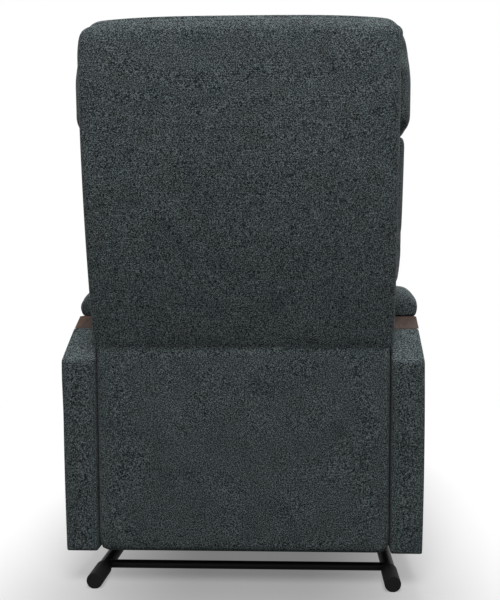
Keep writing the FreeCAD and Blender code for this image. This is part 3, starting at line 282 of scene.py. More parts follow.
class Paint:
    """The node tree of a material or of the surroundings, filled by method calls."""

    def __init__(self, owner):
        owner.use_nodes = True
        self.owner = owner
        self.tree = owner.node_tree
        self.tree.nodes.clear()

    def node(self, kind, settings=None, inputs=None, output=0):
        made = self.tree.nodes.new(kind)
        for key, value in (settings or {}).items():
            if key == "stops":
                self.set_stops(made.color_ramp, value)
            else:
                setattr(made, key, value)
        for key, value in (inputs or {}).items():
            self.feed(made.inputs[key], value)
        return Value(self, made.outputs[output])

    def feed(self, socket, value):
        if isinstance(value, Value):
            self.tree.links.new(value.socket, socket)
        elif socket.type == "RGBA":
            socket.default_value = (*value[:3], 1.0)
        else:
            socket.default_value = value

    @staticmethod
    def set_stops(ramp, stops):
        while len(ramp.elements) < len(stops):
            ramp.elements.new(1.0)
        for element, (place, colour) in zip(ramp.elements, stops):
            element.position = place
            element.color = (*colour, 1.0)

    def place(self, scale=(1, 1, 1)):
        spot = self.node("ShaderNodeTexCoord", {}, {}, "Object")
        return self.node("ShaderNodeVectorMath", {"operation": "MULTIPLY"}, {0: spot, 1: scale})

    def axes(self, scale=(1, 1, 1)):
        """The three scaled coordinates of a place on the piece."""
        parts = self.node("ShaderNodeSeparateXYZ", {}, {0: self.place(scale)}).socket.node
        return [Value(self, output) for output in parts.outputs]

    def grain(self, scale, detail=2.0, stretch=(1, 1, 1), roughness=0.5, distortion=0.0):
        return self.node(
            "ShaderNodeTexNoise", {},
            {
                "Vector": self.place(stretch), "Scale": scale, "Detail": detail,
                "Roughness": roughness, "Distortion": distortion,
            },
        )

    def mix(self, factor, first, second, blend="MIX"):
        return self.node(
            "ShaderNodeMix", {"data_type": "RGBA", "blend_type": blend},
            {0: factor, 6: first, 7: second}, 2,
        )

    def ramp(self, factor, *stops):
        return self.node("ShaderNodeValToRGB", {"stops": stops}, {0: factor})

    def fade(self, spot, start, end):
        """1 near the middle, falling softly to 0 between two distances from it."""
        away = spot.combine("ABSOLUTE", spot)
        return self.node(
            "ShaderNodeMapRange", {"interpolation_type": "SMOOTHSTEP"},
            {"Value": away, "From Min": start, "From Max": end, "To Min": 1.0, "To Max": 0.0},
        )

    def rays(self, first, *others):
        """1 for rays of the named kinds and 0 for all others."""
        kinds = self.node("ShaderNodeLightPath").socket.node.outputs
        total = Value(self, kinds[first])
        for name in others:
            total = total + Value(self, kinds[name])
        return total.clipped()

    def bump(self, height, strength, distance):
        return self.node(
            "ShaderNodeBump", {}, {"Height": height, "Strength": strength, "Distance": distance}
        )

    def light(self, kind, colour, strength):
        return self.node(kind, {}, {"Color": colour, "Strength": strength})

    def either(self, factor, first, second):
        return self.node("ShaderNodeMixShader", {}, {0: factor, 1: first, 2: second})

    def done(self, **inputs):
        named = {key.replace("_", " "): value for key, value in inputs.items()}
        return self.shown(self.node("ShaderNodeBsdfPrincipled", {}, named))

    def shown(self, surface, kind="ShaderNodeOutputMaterial"):
        output = self.tree.nodes.new(kind)
        self.feed(output.inputs["Surface"], surface)
        return self.owner


def new_paint(name):
    return Paint(bpy.data.materials.new(name))


def linear(*channels):
    """A colour given as 0 to 255 screen values, as the shader wants it."""
    return tuple(((value / 255 + 0.055) / 1.055) ** 2.4 for value in channels)


def scaled(colour, factor):
    return tuple(factor * channel for channel in colour)


def make_tweed(name, colours):
    """Grey tweed: speckled yarns in a plain weave, softly mottled."""
    paint = new_paint(name)
    yarn_scale = 600
    yarn_length = 0.55
    fleck_share = 0.8
    contrast = 7.5
    warp = paint.grain(yarn_scale, 2.0, (1, 1, yarn_length), 0.6)
    weft = paint.grain(yarn_scale, 2.0, (yarn_length, 1, 1), 0.6)
    fleck = paint.grain(820, 1.0)
    yarn = (warp + weft + fleck * fleck_share) * (1 / (2 + fleck_share))
    speckle = ((yarn - 0.5) * contrast + 0.5).clipped()
    cloth = paint.ramp(
        speckle, (0.0, colours.tweed_dark), (0.5, colours.tweed_middle), (1.0, colours.tweed_light)
    )
    warm = paint.grain(26, 1.0).rise(0.52, 5)
    cool = paint.grain(19, 1.0, (1, 1.1, 0.9)).rise(0.53, 5)
    tint = 0.22
    cloth = paint.mix(warm * tint, cloth, colours.tweed_warm, "SOFT_LIGHT")
    cloth = paint.mix(cool * tint, cloth, colours.tweed_cool, "SOFT_LIGHT")
    mottle = paint.ramp(paint.grain(11, 2.0), (0.25, (0.86,) * 3), (0.75, (1.0,) * 3))
    cloth = paint.mix(1.0, cloth, mottle, "MULTIPLY")
    thread_scale = 1900
    across, along, upward = [axis.sine() for axis in paint.axes((thread_scale,) * 3)]
    weave = across * upward + along * upward + across * along
    height = yarn * 1.6 + weave * 0.16
    return paint.done(
        Base_Color=cloth,
        Roughness=0.95,
        Specular_IOR_Level=0.06,
        Sheen_Weight=0.06,
        Sheen_Roughness=0.5,
        Normal=paint.bump(height, 0.55, 0.0012),
    )


def make_walnut(name, colours):
    """Oiled walnut with its grain along the arm."""
    paint = new_paint(name)
    line_share = 0.35
    figure = paint.grain(22, 4.0, (1, 0.12, 1), 0.6, 1.2)
    lines = paint.grain(260, 2.0, (1, 0.035, 1), 0.6, 0.4)
    wood = paint.ramp(
        figure * (1 - line_share) + lines * line_share,
        (0.36, colours.walnut_dark), (0.5, colours.walnut_middle), (0.64, colours.walnut_light),
    )
    pores = lines.rise(0.58, 9) * 0.5
    wood = paint.mix(pores, wood, colours.walnut_dark)
    return paint.done(
        Base_Color=wood,
        Roughness=0.5 + figure * 0.2,
        Specular_IOR_Level=0.2,
        Normal=paint.bump(lines, 0.15, 0.0004),
    )


def make_timber(name, dark, light, stretch):
    """Plain frame timber with soft growth rings."""
    paint = new_paint(name)
    fibre_share = 0.2
    rings = paint.grain(38, 3.0, stretch, 0.55, 0.8)
    fibres = paint.grain(420, 1.0, stretch)
    wood = paint.ramp(
        rings * (1 - fibre_share) + fibres * fibre_share, (0.35, dark), (0.65, light)
    )
    return paint.done(
        Base_Color=wood, Roughness=0.62 + fibres * 0.2, Normal=paint.bump(fibres, 0.2, 0.0004)
    )


def make_plywood(name, colours):
    """Plywood: pale face veneer and darker glue lines between its layers."""
    paint = new_paint(name)
    ply_scale = 2100
    figure = paint.grain(30, 3.0, (0.15, 1, 1), 0.55, 1.0)
    face = paint.ramp(figure, (0.35, colours.timber_dark), (0.65, colours.timber_light))
    layer = paint.axes((1, ply_scale, 1))[1]
    line = layer.sine().rise(0.72, 5)
    wood = paint.mix(line * 0.6, face, colours.timber_glue)
    return paint.done(Base_Color=wood, Roughness=0.6 + figure * 0.15)


def make_painted_steel(name, colour, roughness):
    """Powder-coated steel with a faint orange-peel skin and worn patches."""
    paint = new_paint(name)
    peel = paint.grain(900, 1.0)
    wear = paint.grain(18, 3.0)
    tone = paint.ramp(wear, (0.3, scaled(colour, 0.75)), (0.7, scaled(colour, 1.3)))
    return paint.done(
        Base_Color=tone,
        Metallic=0.0,
        Roughness=roughness + (wear - 0.5) * 0.25,
        Specular_IOR_Level=0.12,
        Normal=paint.bump(peel, 0.25, 0.0002),
    )


def make_rubber(name, colour):
    """Moulded rubber, dull, with a fine dusty mottle."""
    paint = new_paint(name)
    dust = paint.grain(140, 3.0)
    tone = paint.ramp(dust, (0.35, scaled(colour, 0.7)), (0.75, scaled(colour, 1.5)))
    return paint.done(
        Base_Color=tone,
        Roughness=0.75 + dust * 0.15,
        Specular_IOR_Level=0.2,
        Normal=paint.bump(dust, 0.2, 0.0003),
    )


def make_zinc(name, colours):
    """Bright zinc-plated steel with a fine drawn grain."""
    paint = new_paint(name)
    drawn = paint.grain(700, 2.0, (0.08, 1, 1))
    spangle = paint.grain(60, 2.0)
    tone = paint.ramp(spangle, (0.3, colours.zinc_dark), (0.7, colours.zinc_light))
    return paint.done(
        Base_Color=tone,
        Metallic=1.0,
        Roughness=0.28 + drawn * 0.2,
        Normal=paint.bump(drawn, 0.12, 0.0002),
    )


def make_plastic(name, colour, roughness):
    """Moulded plastic with a fine spark-eroded texture."""
    paint = new_paint(name)
    spark = paint.grain(1400, 2.0)
    haze = paint.grain(35, 2.0)
    tone = paint.ramp(haze, (0.3, scaled(colour, 0.88)), (0.7, scaled(colour, 1.1)))
    return paint.done(
        Base_Color=tone, Roughness=roughness + haze * 0.1, Normal=paint.bump(spark, 0.3, 0.0002)
    )


def make_strap(name, dark, light, pitch):
    """Woven strap or deck cloth with visible threads."""
    paint = new_paint(name)
    turn = 2 * math.pi / pitch
    fuzz_share = 0.3
    across, along, upward = [axis.sine() for axis in paint.axes((turn,) * 3)]
    weave = (across * upward + across * along) * 0.5 + 0.5
    fuzz = paint.grain(300, 2.0)
    tone = paint.ramp(
        weave * (1 - fuzz_share) + fuzz * fuzz_share, (0.2, dark), (0.8, light)
    )
    return paint.done(Base_Color=tone, Roughness=0.9, Normal=paint.bump(weave, 0.4, 0.0006))


# Settings a user would change


def length(name, description, default):
    return FloatProperty(name=name, description=description, default=default, unit="LENGTH")


def colour(name, description, *channels):
    """A colour setting whose default is given as 0 to 255 screen values."""
    return FloatVectorProperty(
        name=name, description=description, subtype="COLOR", default=linear(*channels)
    )


class ReclinerSizes(bpy.types.PropertyGroup):
    """Sizes of the upholstery."""

    grid_step: length("Cover grid", "Spacing of a cover's mesh", 0.0075)
    seam_draw: length("Seam draw", "How deep a seam pulls into its pad", 0.003)
    pucker: length("Pucker", "Height of the gathers beside a seam", 0.0012)
    pressure: FloatProperty(
        name="Filling pressure", description="How hard the filling presses on a cover", default=4.0
    )
    puff_frames: IntProperty(
        name="Filling steps", description="Steps of the filling simulation", default=20
    )
    panel_edge: length("Panel edge", "Radius of a covered panel's edges", 0.005)
    back_edge: length("Back edge", "Radius of the outside back's edges", 0.014)
    cover_wall: length("Cover", "Thickness of a covered panel's padding", 0.007)


class ReclinerColours(bpy.types.PropertyGroup):
    """Colours of the fabric and the finishes."""

    tweed_dark: colour("Tweed dark", "Dark yarns", 12, 17, 19)
    tweed_middle: colour("Tweed", "Main yarns", 52, 59, 61)
    tweed_light: colour("Tweed light", "Light yarns", 112, 122, 123)
    tweed_warm: colour("Tweed warm", "Warm patches", 140, 118, 110)
    tweed_cool: colour("Tweed cool", "Cool patches", 105, 125, 140)
    walnut_dark: colour("Walnut dark", "Dark grain", 34, 24, 19)
    walnut_middle: colour("Walnut", "Main wood tone", 58, 43, 35)
    walnut_light: colour("Walnut light", "Light grain", 80, 61, 50)
    timber_dark: colour("Timber dark", "Frame timber rings", 178, 142, 98)
    timber_light: colour("Timber light", "Frame timber", 214, 184, 142)
    timber_glue: colour("Glue line", "Lines between plies", 96, 66, 44)
    black: colour("Black", "Tubes and caps", 7, 7, 7)
    zinc_dark: colour("Zinc dark", "Plated steel shade", 150, 152, 156)
    zinc_light: colour("Zinc light", "Plated steel", 205, 207, 210)
    nylon: colour("Nylon", "Bushes and rollers", 226, 224, 214)
    deck_dark: colour("Deck dark", "Deck cloth between its threads", 22, 22, 23)
    deck_light: colour("Deck light", "Deck cloth threads", 48, 48, 50)
    webbing_dark: colour("Webbing dark", "Webbing between its threads", 120, 112, 98)
    webbing_light: colour("Webbing light", "Webbing threads", 196, 188, 170)


class RECLINER_OT_finishes(bpy.types.Operator):
    """Makes the materials and gives each frame piece the finish of its slot"""

    bl_idname = "recliner.finishes"
    bl_label = "Finishes"

    def execute(self, context):
        tones = context.scene.recliner_colours
        grain_stretch = (1, 0.3, 1)
        deck_pitch = 0.004
        webbing_pitch = 0.005
        finishes["upholstery"] = make_tweed("tweed", tones)
        finishes["walnut"] = make_walnut("walnut", tones)
        finishes["frame_timber"] = make_timber(
            "frame timber", tones.timber_dark, tones.timber_light, grain_stretch
        )
        finishes["plywood"] = make_plywood("plywood", tones)
        finishes["tube_steel"] = make_painted_steel("black tube", tones.black, 0.5)
        finishes["black_steel"] = make_painted_steel("black steel", tones.black, 0.4)
        finishes["cap_rubber"] = make_rubber("cap rubber", tones.black)
        finishes["zinc_steel"] = make_zinc("zinc steel", tones)
        finishes["nylon"] = make_plastic("nylon", tones.nylon, 0.45)
        finishes["black_plastic"] = make_plastic("black plastic", tones.black, 0.5)
        finishes["deck_cloth"] = make_strap(
            "deck cloth", tones.deck_dark, tones.deck_light, deck_pitch
        )
        finishes["webbing"] = make_strap(
            "webbing", tones.webbing_dark, tones.webbing_light, webbing_pitch
        )
        for part in frame["record"]["subparts"]:
            node = frame["nodes"][part["node"]]
            node.data.materials.clear()
            node.data.materials.append(finishes[part["material_slot"]])
        return {"FINISHED"}


# The camera and the stage

CAMERA_PLACE = (-0.1315, 1.5233, 0.6497)
CAMERA_FORWARD = Vector((0.02197, -0.99846, -0.05098))
SENSOR_WIDTH = 36.0
LENS_LENGTH = 33.61
LENS_SHIFT = (-0.0715, 0.0203)

# Name, place and power in watts
LAMPS = (
    ("rear lamp", (-0.2, 2.2, 4.6), 274.0),
    ("front lamp", (-0.5, -2.8, 4.2), 230.0),
    ("left lamp", (3.2, -1.6, 1.4), 50.0),
    ("right lamp", (-3.2, -1.6, 1.4), 50.0),
)
LAMP_WIDTH = 2.2
LAMP_AIM = Vector((0, 0, 0.6))
FLOOR_RADIUS = 14.0
WHITE = (1, 1, 1)
SKY_STRENGTH = 0.09
# Grey of the shadow painted on the floor round the chair
FLOOR_PAINTED_SHADOW = (0.26, 0.26, 0.26)
FLOOR_GROUND = (0.62, 0.62, 0.62)
FLOOR_DULL = (0.13, 0.13, 0.13)


def link_object(scene, name, data, place, forward):
    """Adds a camera or a lamp that looks along a direction."""
    made = bpy.data.objects.new(name, data)
    made.location = place
    made.rotation_mode = "QUATERNION"
    made.rotation_quaternion = forward.to_track_quat("-Z", "Y")
    scene.collection.objects.link(made)
    return made


class RECLINER_OT_camera(bpy.types.Operator):
    """Sets up the camera behind the chair"""

    bl_idname = "recliner.camera"
    bl_label = "Camera"

    def execute(self, context):
        lens = bpy.data.cameras.new("camera")
        lens.sensor_width = SENSOR_WIDTH
        lens.lens = LENS_LENGTH
        lens.shift_x, lens.shift_y = LENS_SHIFT
        scene = context.scene
        scene.camera = link_object(scene, "camera", lens, CAMERA_PLACE, CAMERA_FORWARD)
        return {"FINISHED"}


class RECLINER_OT_stage(bpy.types.Operator):
    """Makes the floor, the lamps and the white surroundings"""

    bl_idname = "recliner.stage"
    bl_label = "Stage"

    def execute(self, context):
        scene = context.scene
        scene.view_settings.view_transform = "Standard"
        mesh = bmesh.new()
        bmesh.ops.create_circle(mesh, cap_ends=True, segments=96, radius=FLOOR_RADIUS)
        bmesh.ops.translate(mesh, vec=(0, 0, -HAIR), verts=mesh.verts)
        data = bpy.data.meshes.new("floor")
        mesh.to_mesh(data)
        mesh.free()
        floor = bpy.data.objects.new("floor", data)
        scene.collection.objects.link(floor)
        data.materials.append(self.floor_material())
        for name, place, power in LAMPS:
            light = bpy.data.lights.new(name, "AREA")
            light.shape = "DISK"
            light.size = LAMP_WIDTH
            light.energy = power
            link_object(scene, name, light, place, LAMP_AIM - Vector(place))
        scene.world = self.surroundings()
        return {"FINISHED"}

    @staticmethod
    def surroundings():
        """White to the eye and in reflections, and dim as a source of light."""
        paint = Paint(bpy.data.worlds.new("surroundings"))
        seen = paint.rays("Is Camera Ray", "Is Glossy Ray")
        dim = paint.light("ShaderNodeBackground", WHITE, SKY_STRENGTH)
        white = paint.light("ShaderNodeBackground", WHITE, 1.0)
        return paint.shown(paint.either(seen, dim, white), "ShaderNodeOutputWorld")

    @staticmethod
    def floor_material():
        """A pale floor: a camera-seen glow with a painted soft shadow near the chair, mixed with a
        quarter of diffuse ground that takes the real shadow, fading to white beyond.
        """
        paint = new_paint("pale floor")
        radius = paint.node(
            "ShaderNodeVectorMath", {"operation": "LENGTH"}, {0: paint.place()}, "Value"
        )
        far = radius.rise(1.0, 1.1)
        across, along, _ = paint.axes()
        # Painted shadow: a soft grey patch round the chair's footprint, fading out with distance
        shade = paint.fade(across + 0.015, 0.10, 0.70) * paint.fade(along, 0.34, 0.80) * (1 - far)
        tone = paint.mix(shade, WHITE, FLOOR_PAINTED_SHADOW)
        # The painted shadow is emitted as a glow, so it shows whatever the lamps do
        painted_shadow_glow = paint.light("ShaderNodeEmission", tone, 1.0)
        ground = paint.node("ShaderNodeBsdfDiffuse", {}, {"Color": FLOOR_GROUND})
        pale = paint.either(far * 0.25 + 0.75, ground, painted_shadow_glow)
        dull = paint.node("ShaderNodeBsdfDiffuse", {}, {"Color": FLOOR_DULL})
        seen = paint.rays("Is Camera Ray", "Is Glossy Ray", "Is Transmission Ray")
        return paint.shown(paint.either(seen, dull, pale))


# The outside back's form, in metres: its cover is bent from a flat box with these grids
TOP_BEVEL = 0.034
SIDE_BAND = 0.034
CREASE_BAND = 0.055
PANEL_GRID = 0.02
LEAN_GRIDS = (
    (CREASE_HEIGHT - CREASE_BAND, CREASE_HEIGHT + CREASE_BAND, 0.0055),
    (CREASE_HEIGHT + CREASE_BAND, ROLL_HEIGHT, 0.017),
    (ROLL_HEIGHT, BACK_TOP - 0.001, 0.006),
)
DEPTH_GRID = 0.007
ACROSS_GRID = 0.015
PANEL_TOP = CREASE_HEIGHT - 0.05
CREASE_SLANT = 0.94
CREASE_DRAW = 0.0014
CREASE_SPREAD = 0.013
CORNER_DROP = 0.012
BACK_SWELL = 0.0022
SWELL_DEPTH = 0.012
BACK_WAVE = 0.0009
WAVE_SCALE = 9.0
SKIN_DEPTH = 0.02
TOP_SHIFT = 0.006

# Bands of height over which the outside back's form changes
SHOULDER_BAND = (CREASE_HEIGHT - 0.016, CREASE_HEIGHT + 0.004)
THICKER_BAND = (CREASE_HEIGHT - 0.02, CREASE_HEIGHT + 0.02)
BOTTOM_BAND = (PANEL_BOTTOM, PANEL_BOTTOM + 0.03)
DROP_BAND = (0.98, BACK_TOP)
SHIFT_BAND = (1.11, 1.17)


class RECLINER_OT_outside_back(bpy.types.Operator):
    """Covers the outside back: the lower panel, the soft crease and the leaning panel's roll"""

    bl_idname = "recliner.outside_back"
    bl_label = "Outside back"

    def execute(self, context):
        sizes = context.scene.recliner_sizes
        radius = sizes.back_edge
        low = (-UPPER_HALF, REAR_Y - COVER_DEPTH, PANEL_BOTTOM)
        high = (UPPER_HALF, REAR_Y, BACK_TOP)
        mesh = block_mesh(low, high)
        rear_top = [
            edge for edge in mesh.edges
            if all(vertex.co.z > BACK_TOP - HAIR for vertex in edge.verts)
            and abs(edge.verts[0].co.x - edge.verts[1].co.x) < HAIR
        ]
        round_edges(mesh, rear_top, TOP_BEVEL, 6)
        rear = [
            edge for edge in mesh.edges
            if all(vertex.co.y > REAR_Y - HAIR for vertex in edge.verts)
            and not all(vertex.co.z > BACK_TOP - HAIR for vertex in edge.verts)
        ]
        round_edges(mesh, rear, radius, 4)
        slice_mesh(mesh, 2, even_places(PANEL_BOTTOM + radius, PANEL_TOP, PANEL_GRID))
        for start, end, step in LEAN_GRIDS:
            slice_mesh(mesh, 2, even_places(start, end, step))
        slice_mesh(mesh, 1, even_places(REAR_Y - COVER_DEPTH, REAR_Y - radius, DEPTH_GRID))
        inner = UPPER_HALF - SIDE_BAND
        slice_mesh(mesh, 0, [-inner, inner])
        divide_spans(mesh, 0, -inner, inner, ACROSS_GRID)
        front = [
            face for face in mesh.faces
            if all(vertex.co.y < REAR_Y - COVER_DEPTH + HAIR for vertex in face.verts)
        ]
        bmesh.ops.delete(mesh, geom=front, context="FACES")
        for vertex in mesh.verts:
            vertex.co = self.shaped(vertex.co)
        thicken(mesh, sizes.cover_wall)
        piece = finish_piece("outside_back", mesh, "back")
        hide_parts("lower_back_cover", "upper_back_cover")
        return {"FINISHED"}

    @staticmethod
    def shaped(spot):
        """A point of the flat panel, moved to the leaning, rolled and creased form."""
        depth = depth_of(spot.y)
        height = spot.z
        level = height - CREASE_SLANT * depth
        above = ease(level, *SHOULDER_BAND)
        half = LOWER_HALF + (UPPER_HALF - LOWER_HALF) * above
        across = spot.x / UPPER_HALF
        aside = abs(across)
        room = LOWER_COVER_DEPTH / COVER_DEPTH
        depth *= room + (1 - room) * ease(height, *THICKER_BAND)
        if height > ROLL_HEIGHT and depth < ROLL_RADIUS:
            up = (height - ROLL_HEIGHT) / ROLL_RADIUS
            back = (ROLL_RADIUS - depth) / ROLL_RADIUS
            reach = max(up, back) / max(HAIR, math.hypot(up, back))
            height = ROLL_HEIGHT + up * reach * (ROLL_RADIUS + ROLL_FULLNESS)
            depth = ROLL_RADIUS - back * reach * ROLL_RADIUS
        drop = CORNER_DROP * aside ** 3.5 * ease(height, *DROP_BAND)
        swell = BACK_SWELL * (1 - aside ** 4) * (1 - ease(depth, 0.0, SWELL_DEPTH))
        away = (height - CREASE_HEIGHT) / CREASE_SPREAD
        crease = CREASE_DRAW * math.exp(-away ** 2) * (1 - aside ** 8)
        wave = BACK_WAVE * ripple(Vector((spot.x, 0, height)), WAVE_SCALE) * (1 - aside ** 6)
        bottom = ease(height, *BOTTOM_BAND)
        relief = crease - swell * bottom + wave * bottom
        depth += lean_depth(height) + relief * (depth < SKIN_DEPTH)
        shift = TOP_SHIFT * ease(height, *SHIFT_BAND)
        return Vector((across * half - shift, REAR_Y - depth, height - drop))


# The arm panels' form, in metres
ARM_GRID = 0.02
ARM_WIDTH_GRID = 0.012
ARM_TOP_GRID = 0.018
ARM_SWELL = 0.0012
ARM_WAVE = 0.0006
ARM_WAVE_SCALE = 8.0
ARM_WAVE_SEED = 3.0
ARM_FLARE = 0.0024
LEFT_FLARE = 0.0028
LEFT_FLARE_HEIGHTS = (0.36, 0.47)
CUP_CALM = (0.06, 0.12)


class RECLINER_OT_arm_panels(bpy.types.Operator):
    """Covers the arm panels, with the sloped rear corner and the release cup's opening"""

    bl_idname = "recliner.arm_panels"
    bl_label = "Arm panels"

    def execute(self, context):
        for name, side in (("left", 1), ("right", -1)):
            self.make_arm(context.scene.recliner_sizes, name, side)
        return {"FINISHED"}

    def make_arm(self, sizes, name, side):
        """Makes an arm's panel as the left one, with a cup's opening in the right one."""
        low, high = ARM_LOW, ARM_HIGH
        edge = sizes.panel_edge
        mesh = block_mesh(low, high)
        slope = Vector((0, high.z - ARM_REAR_CORNER, ARM_SLOPE_RUN)).normalized()
        cut_mesh(mesh, (0, high.y, ARM_REAR_CORNER), slope, clear=True)
        bmesh.ops.holes_fill(mesh, edges=mesh.edges)
        round_edges(mesh, mesh.edges[:], edge, 4)
        cup_low, cup_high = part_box("release_cup")
        slice_mesh(mesh, 0, even_places(low.x + edge, high.x - edge, ARM_WIDTH_GRID))
        for axis, last_step in ((1, ARM_GRID), (2, ARM_TOP_GRID)):
            start, end = cup_low[axis], cup_high[axis]
            slice_mesh(mesh, axis, even_places(low[axis] + edge, start, ARM_GRID))
            slice_mesh(mesh, axis, [start, end] + even_places(start, end, ARM_GRID))
            slice_mesh(mesh, axis, even_places(end, high[axis] - edge, last_step))
        open_faces = [
            face for face in mesh.faces
            if face.normal.z < -0.9
            or (side < 0 and face.normal.x > 0.9
                and cup_low.y < face.calc_center_median().y < cup_high.y
                and cup_low.z < face.calc_center_median().z < cup_high.z)
        ]
        bmesh.ops.delete(mesh, geom=open_faces, context="FACES")
        cup_middle = (cup_low.y + cup_high.y) / 2
        for vertex in mesh.verts:
            from_cup = abs(vertex.co.y - cup_middle)
            calm = ease(from_cup, *CUP_CALM) if side < 0 else 1.0
            self.fill_out(vertex, side, calm)
        thicken(mesh, sizes.cover_wall)
        if side < 0:
            bmesh.ops.scale(mesh, vec=(-1, 1, 1), verts=mesh.verts)
        piece = finish_piece("arm_panel_" + name, mesh, "chassis")
        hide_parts("arm_cover_" + name)

    @staticmethod
    def fill_out(vertex, side, calm):
        """Moves a point of a flat arm panel out to its padded form."""
        low, high = ARM_LOW, ARM_HIGH
        middle = (low + high) / 2
        half = (high - low) / 2
        along = abs(vertex.co.y - middle.y) / half.y
        upward = abs(vertex.co.z - middle.z) / half.z
        outward = (vertex.co.x - middle.x) / half.x
        fullness = (1 - along ** 6) * (1 - upward ** 6)
        flare = ARM_FLARE * math.sin(math.pi * (vertex.co.z - low.z) / (high.z - low.z))
        flare += LEFT_FLARE * ease(vertex.co.z, *LEFT_FLARE_HEIGHTS) * (side > 0)
        flare *= outward > 0
        vertex.co.x += (ARM_SWELL * fullness * outward + flare) * calm
        wave = ripple(vertex.co, ARM_WAVE_SCALE, ARM_WAVE_SEED + side)
        vertex.co.x += ARM_WAVE * wave * fullness * outward * calm
        if vertex.co.y > high.y - HAIR:
            vertex.co.y += ARM_SWELL * (1 - abs(outward) ** 3)


# The pads' form, in metres. A back cushion's row has its piece, its frame node, the radius of its
# edges, what it is wider by, how square its top and bottom are, and how much it narrows to them.
BACK_CUSHIONS = (
    ("head_bolster", "head_cushion", 0.040, 0.0, 0.0, (0.035, 0.0)),
    ("lumbar_pad", "lumbar_cushion", 0.034, -0.002, 0.020, (0.0, 0.004)),
    ("lower_back_pad", "lower_back_cushion", 0.034, -0.003, 0.0, (0.0, 0.0)),
)
BACK_CAP = 0.016
BACK_LOW_GAP = 0.001
BACK_HIGH_GAP = 0.002
BACK_ROOM = 0.004
FRONT_ROOM = 0.008
BACK_CROWN = 0.020
CROWN_ACROSS = 0.6
CROWN_UPWARD = 0.7
TOP_NARROWING = (-0.1, 0.9)
BOTTOM_NARROWING = (-0.6, 1.0)
SEAT_RADIUS = 0.030
SEAT_GRID_SHARE = 1.15
SEAT_CAP = 0.014
SEAT_LOW_GAP = 0.0005
SEAT_HIGH_GAP = 0.012
SEAT_HELD = 0.012
SEAT_LIFT = 0.0285
SEAT_LIFT_START = 0.001
SEAT_LIFT_END = 0.020
SEAT_CROWN = 0.006
FOOTREST_RADIUS = 0.020
FOOTREST_CAP = 0.010
FOOTREST_FRONT_GAP = 0.009
FOOTREST_CUT = 0.016
PAD_INSET = 0.003
ARM_PAD_RADIUS = 0.018
ARM_PAD_CAP = 0.006
ARM_PAD_INSET = 0.001
ARM_PAD_SUNK = 0.005
ARM_PAD_BULGE = 0.0045
ARM_PAD_BELLY = 0.006
ARM_PAD_TAPER = 0.004
ARM_PAD_CROWN = 0.012
ARM_PAD_END_DROP = 0.008
ARM_PAD_DOME = 0.080
ARM_PAD_DOME_START = 0.014
ARM_PAD_DRAW = 0.6
HELD_BAND = 0.004
GATHER_SCALE = 55.0
GATHER_SEED = 7.0
GATHER_REACH = 0.016
PAD_SLACK = (0.010, 0.002, 0.002)

# The apron and the wraps, in metres
APRON_INSET = 0.008
APRON_BEHIND = 0.018
APRON_THICK = 0.010
APRON_BELOW = 0.084
APRON_ABOVE = 0.034
APRON_RADIUS = 0.004
APRON_GRID = 0.010
APRON_WAVE = 0.0015
RAIL_CLOTH = 0.0022
RAIL_TURN = 0.002
RAIL_CLOTH_EDGE = 0.0008
BOARD_CLOTH = 0.0012
BOARD_CLOTH_EDGE = 0.001
BOARD_CLOTH_FRONT = 0.0001
WRAP_GRID = 0.02
WRAP_END = 0.01


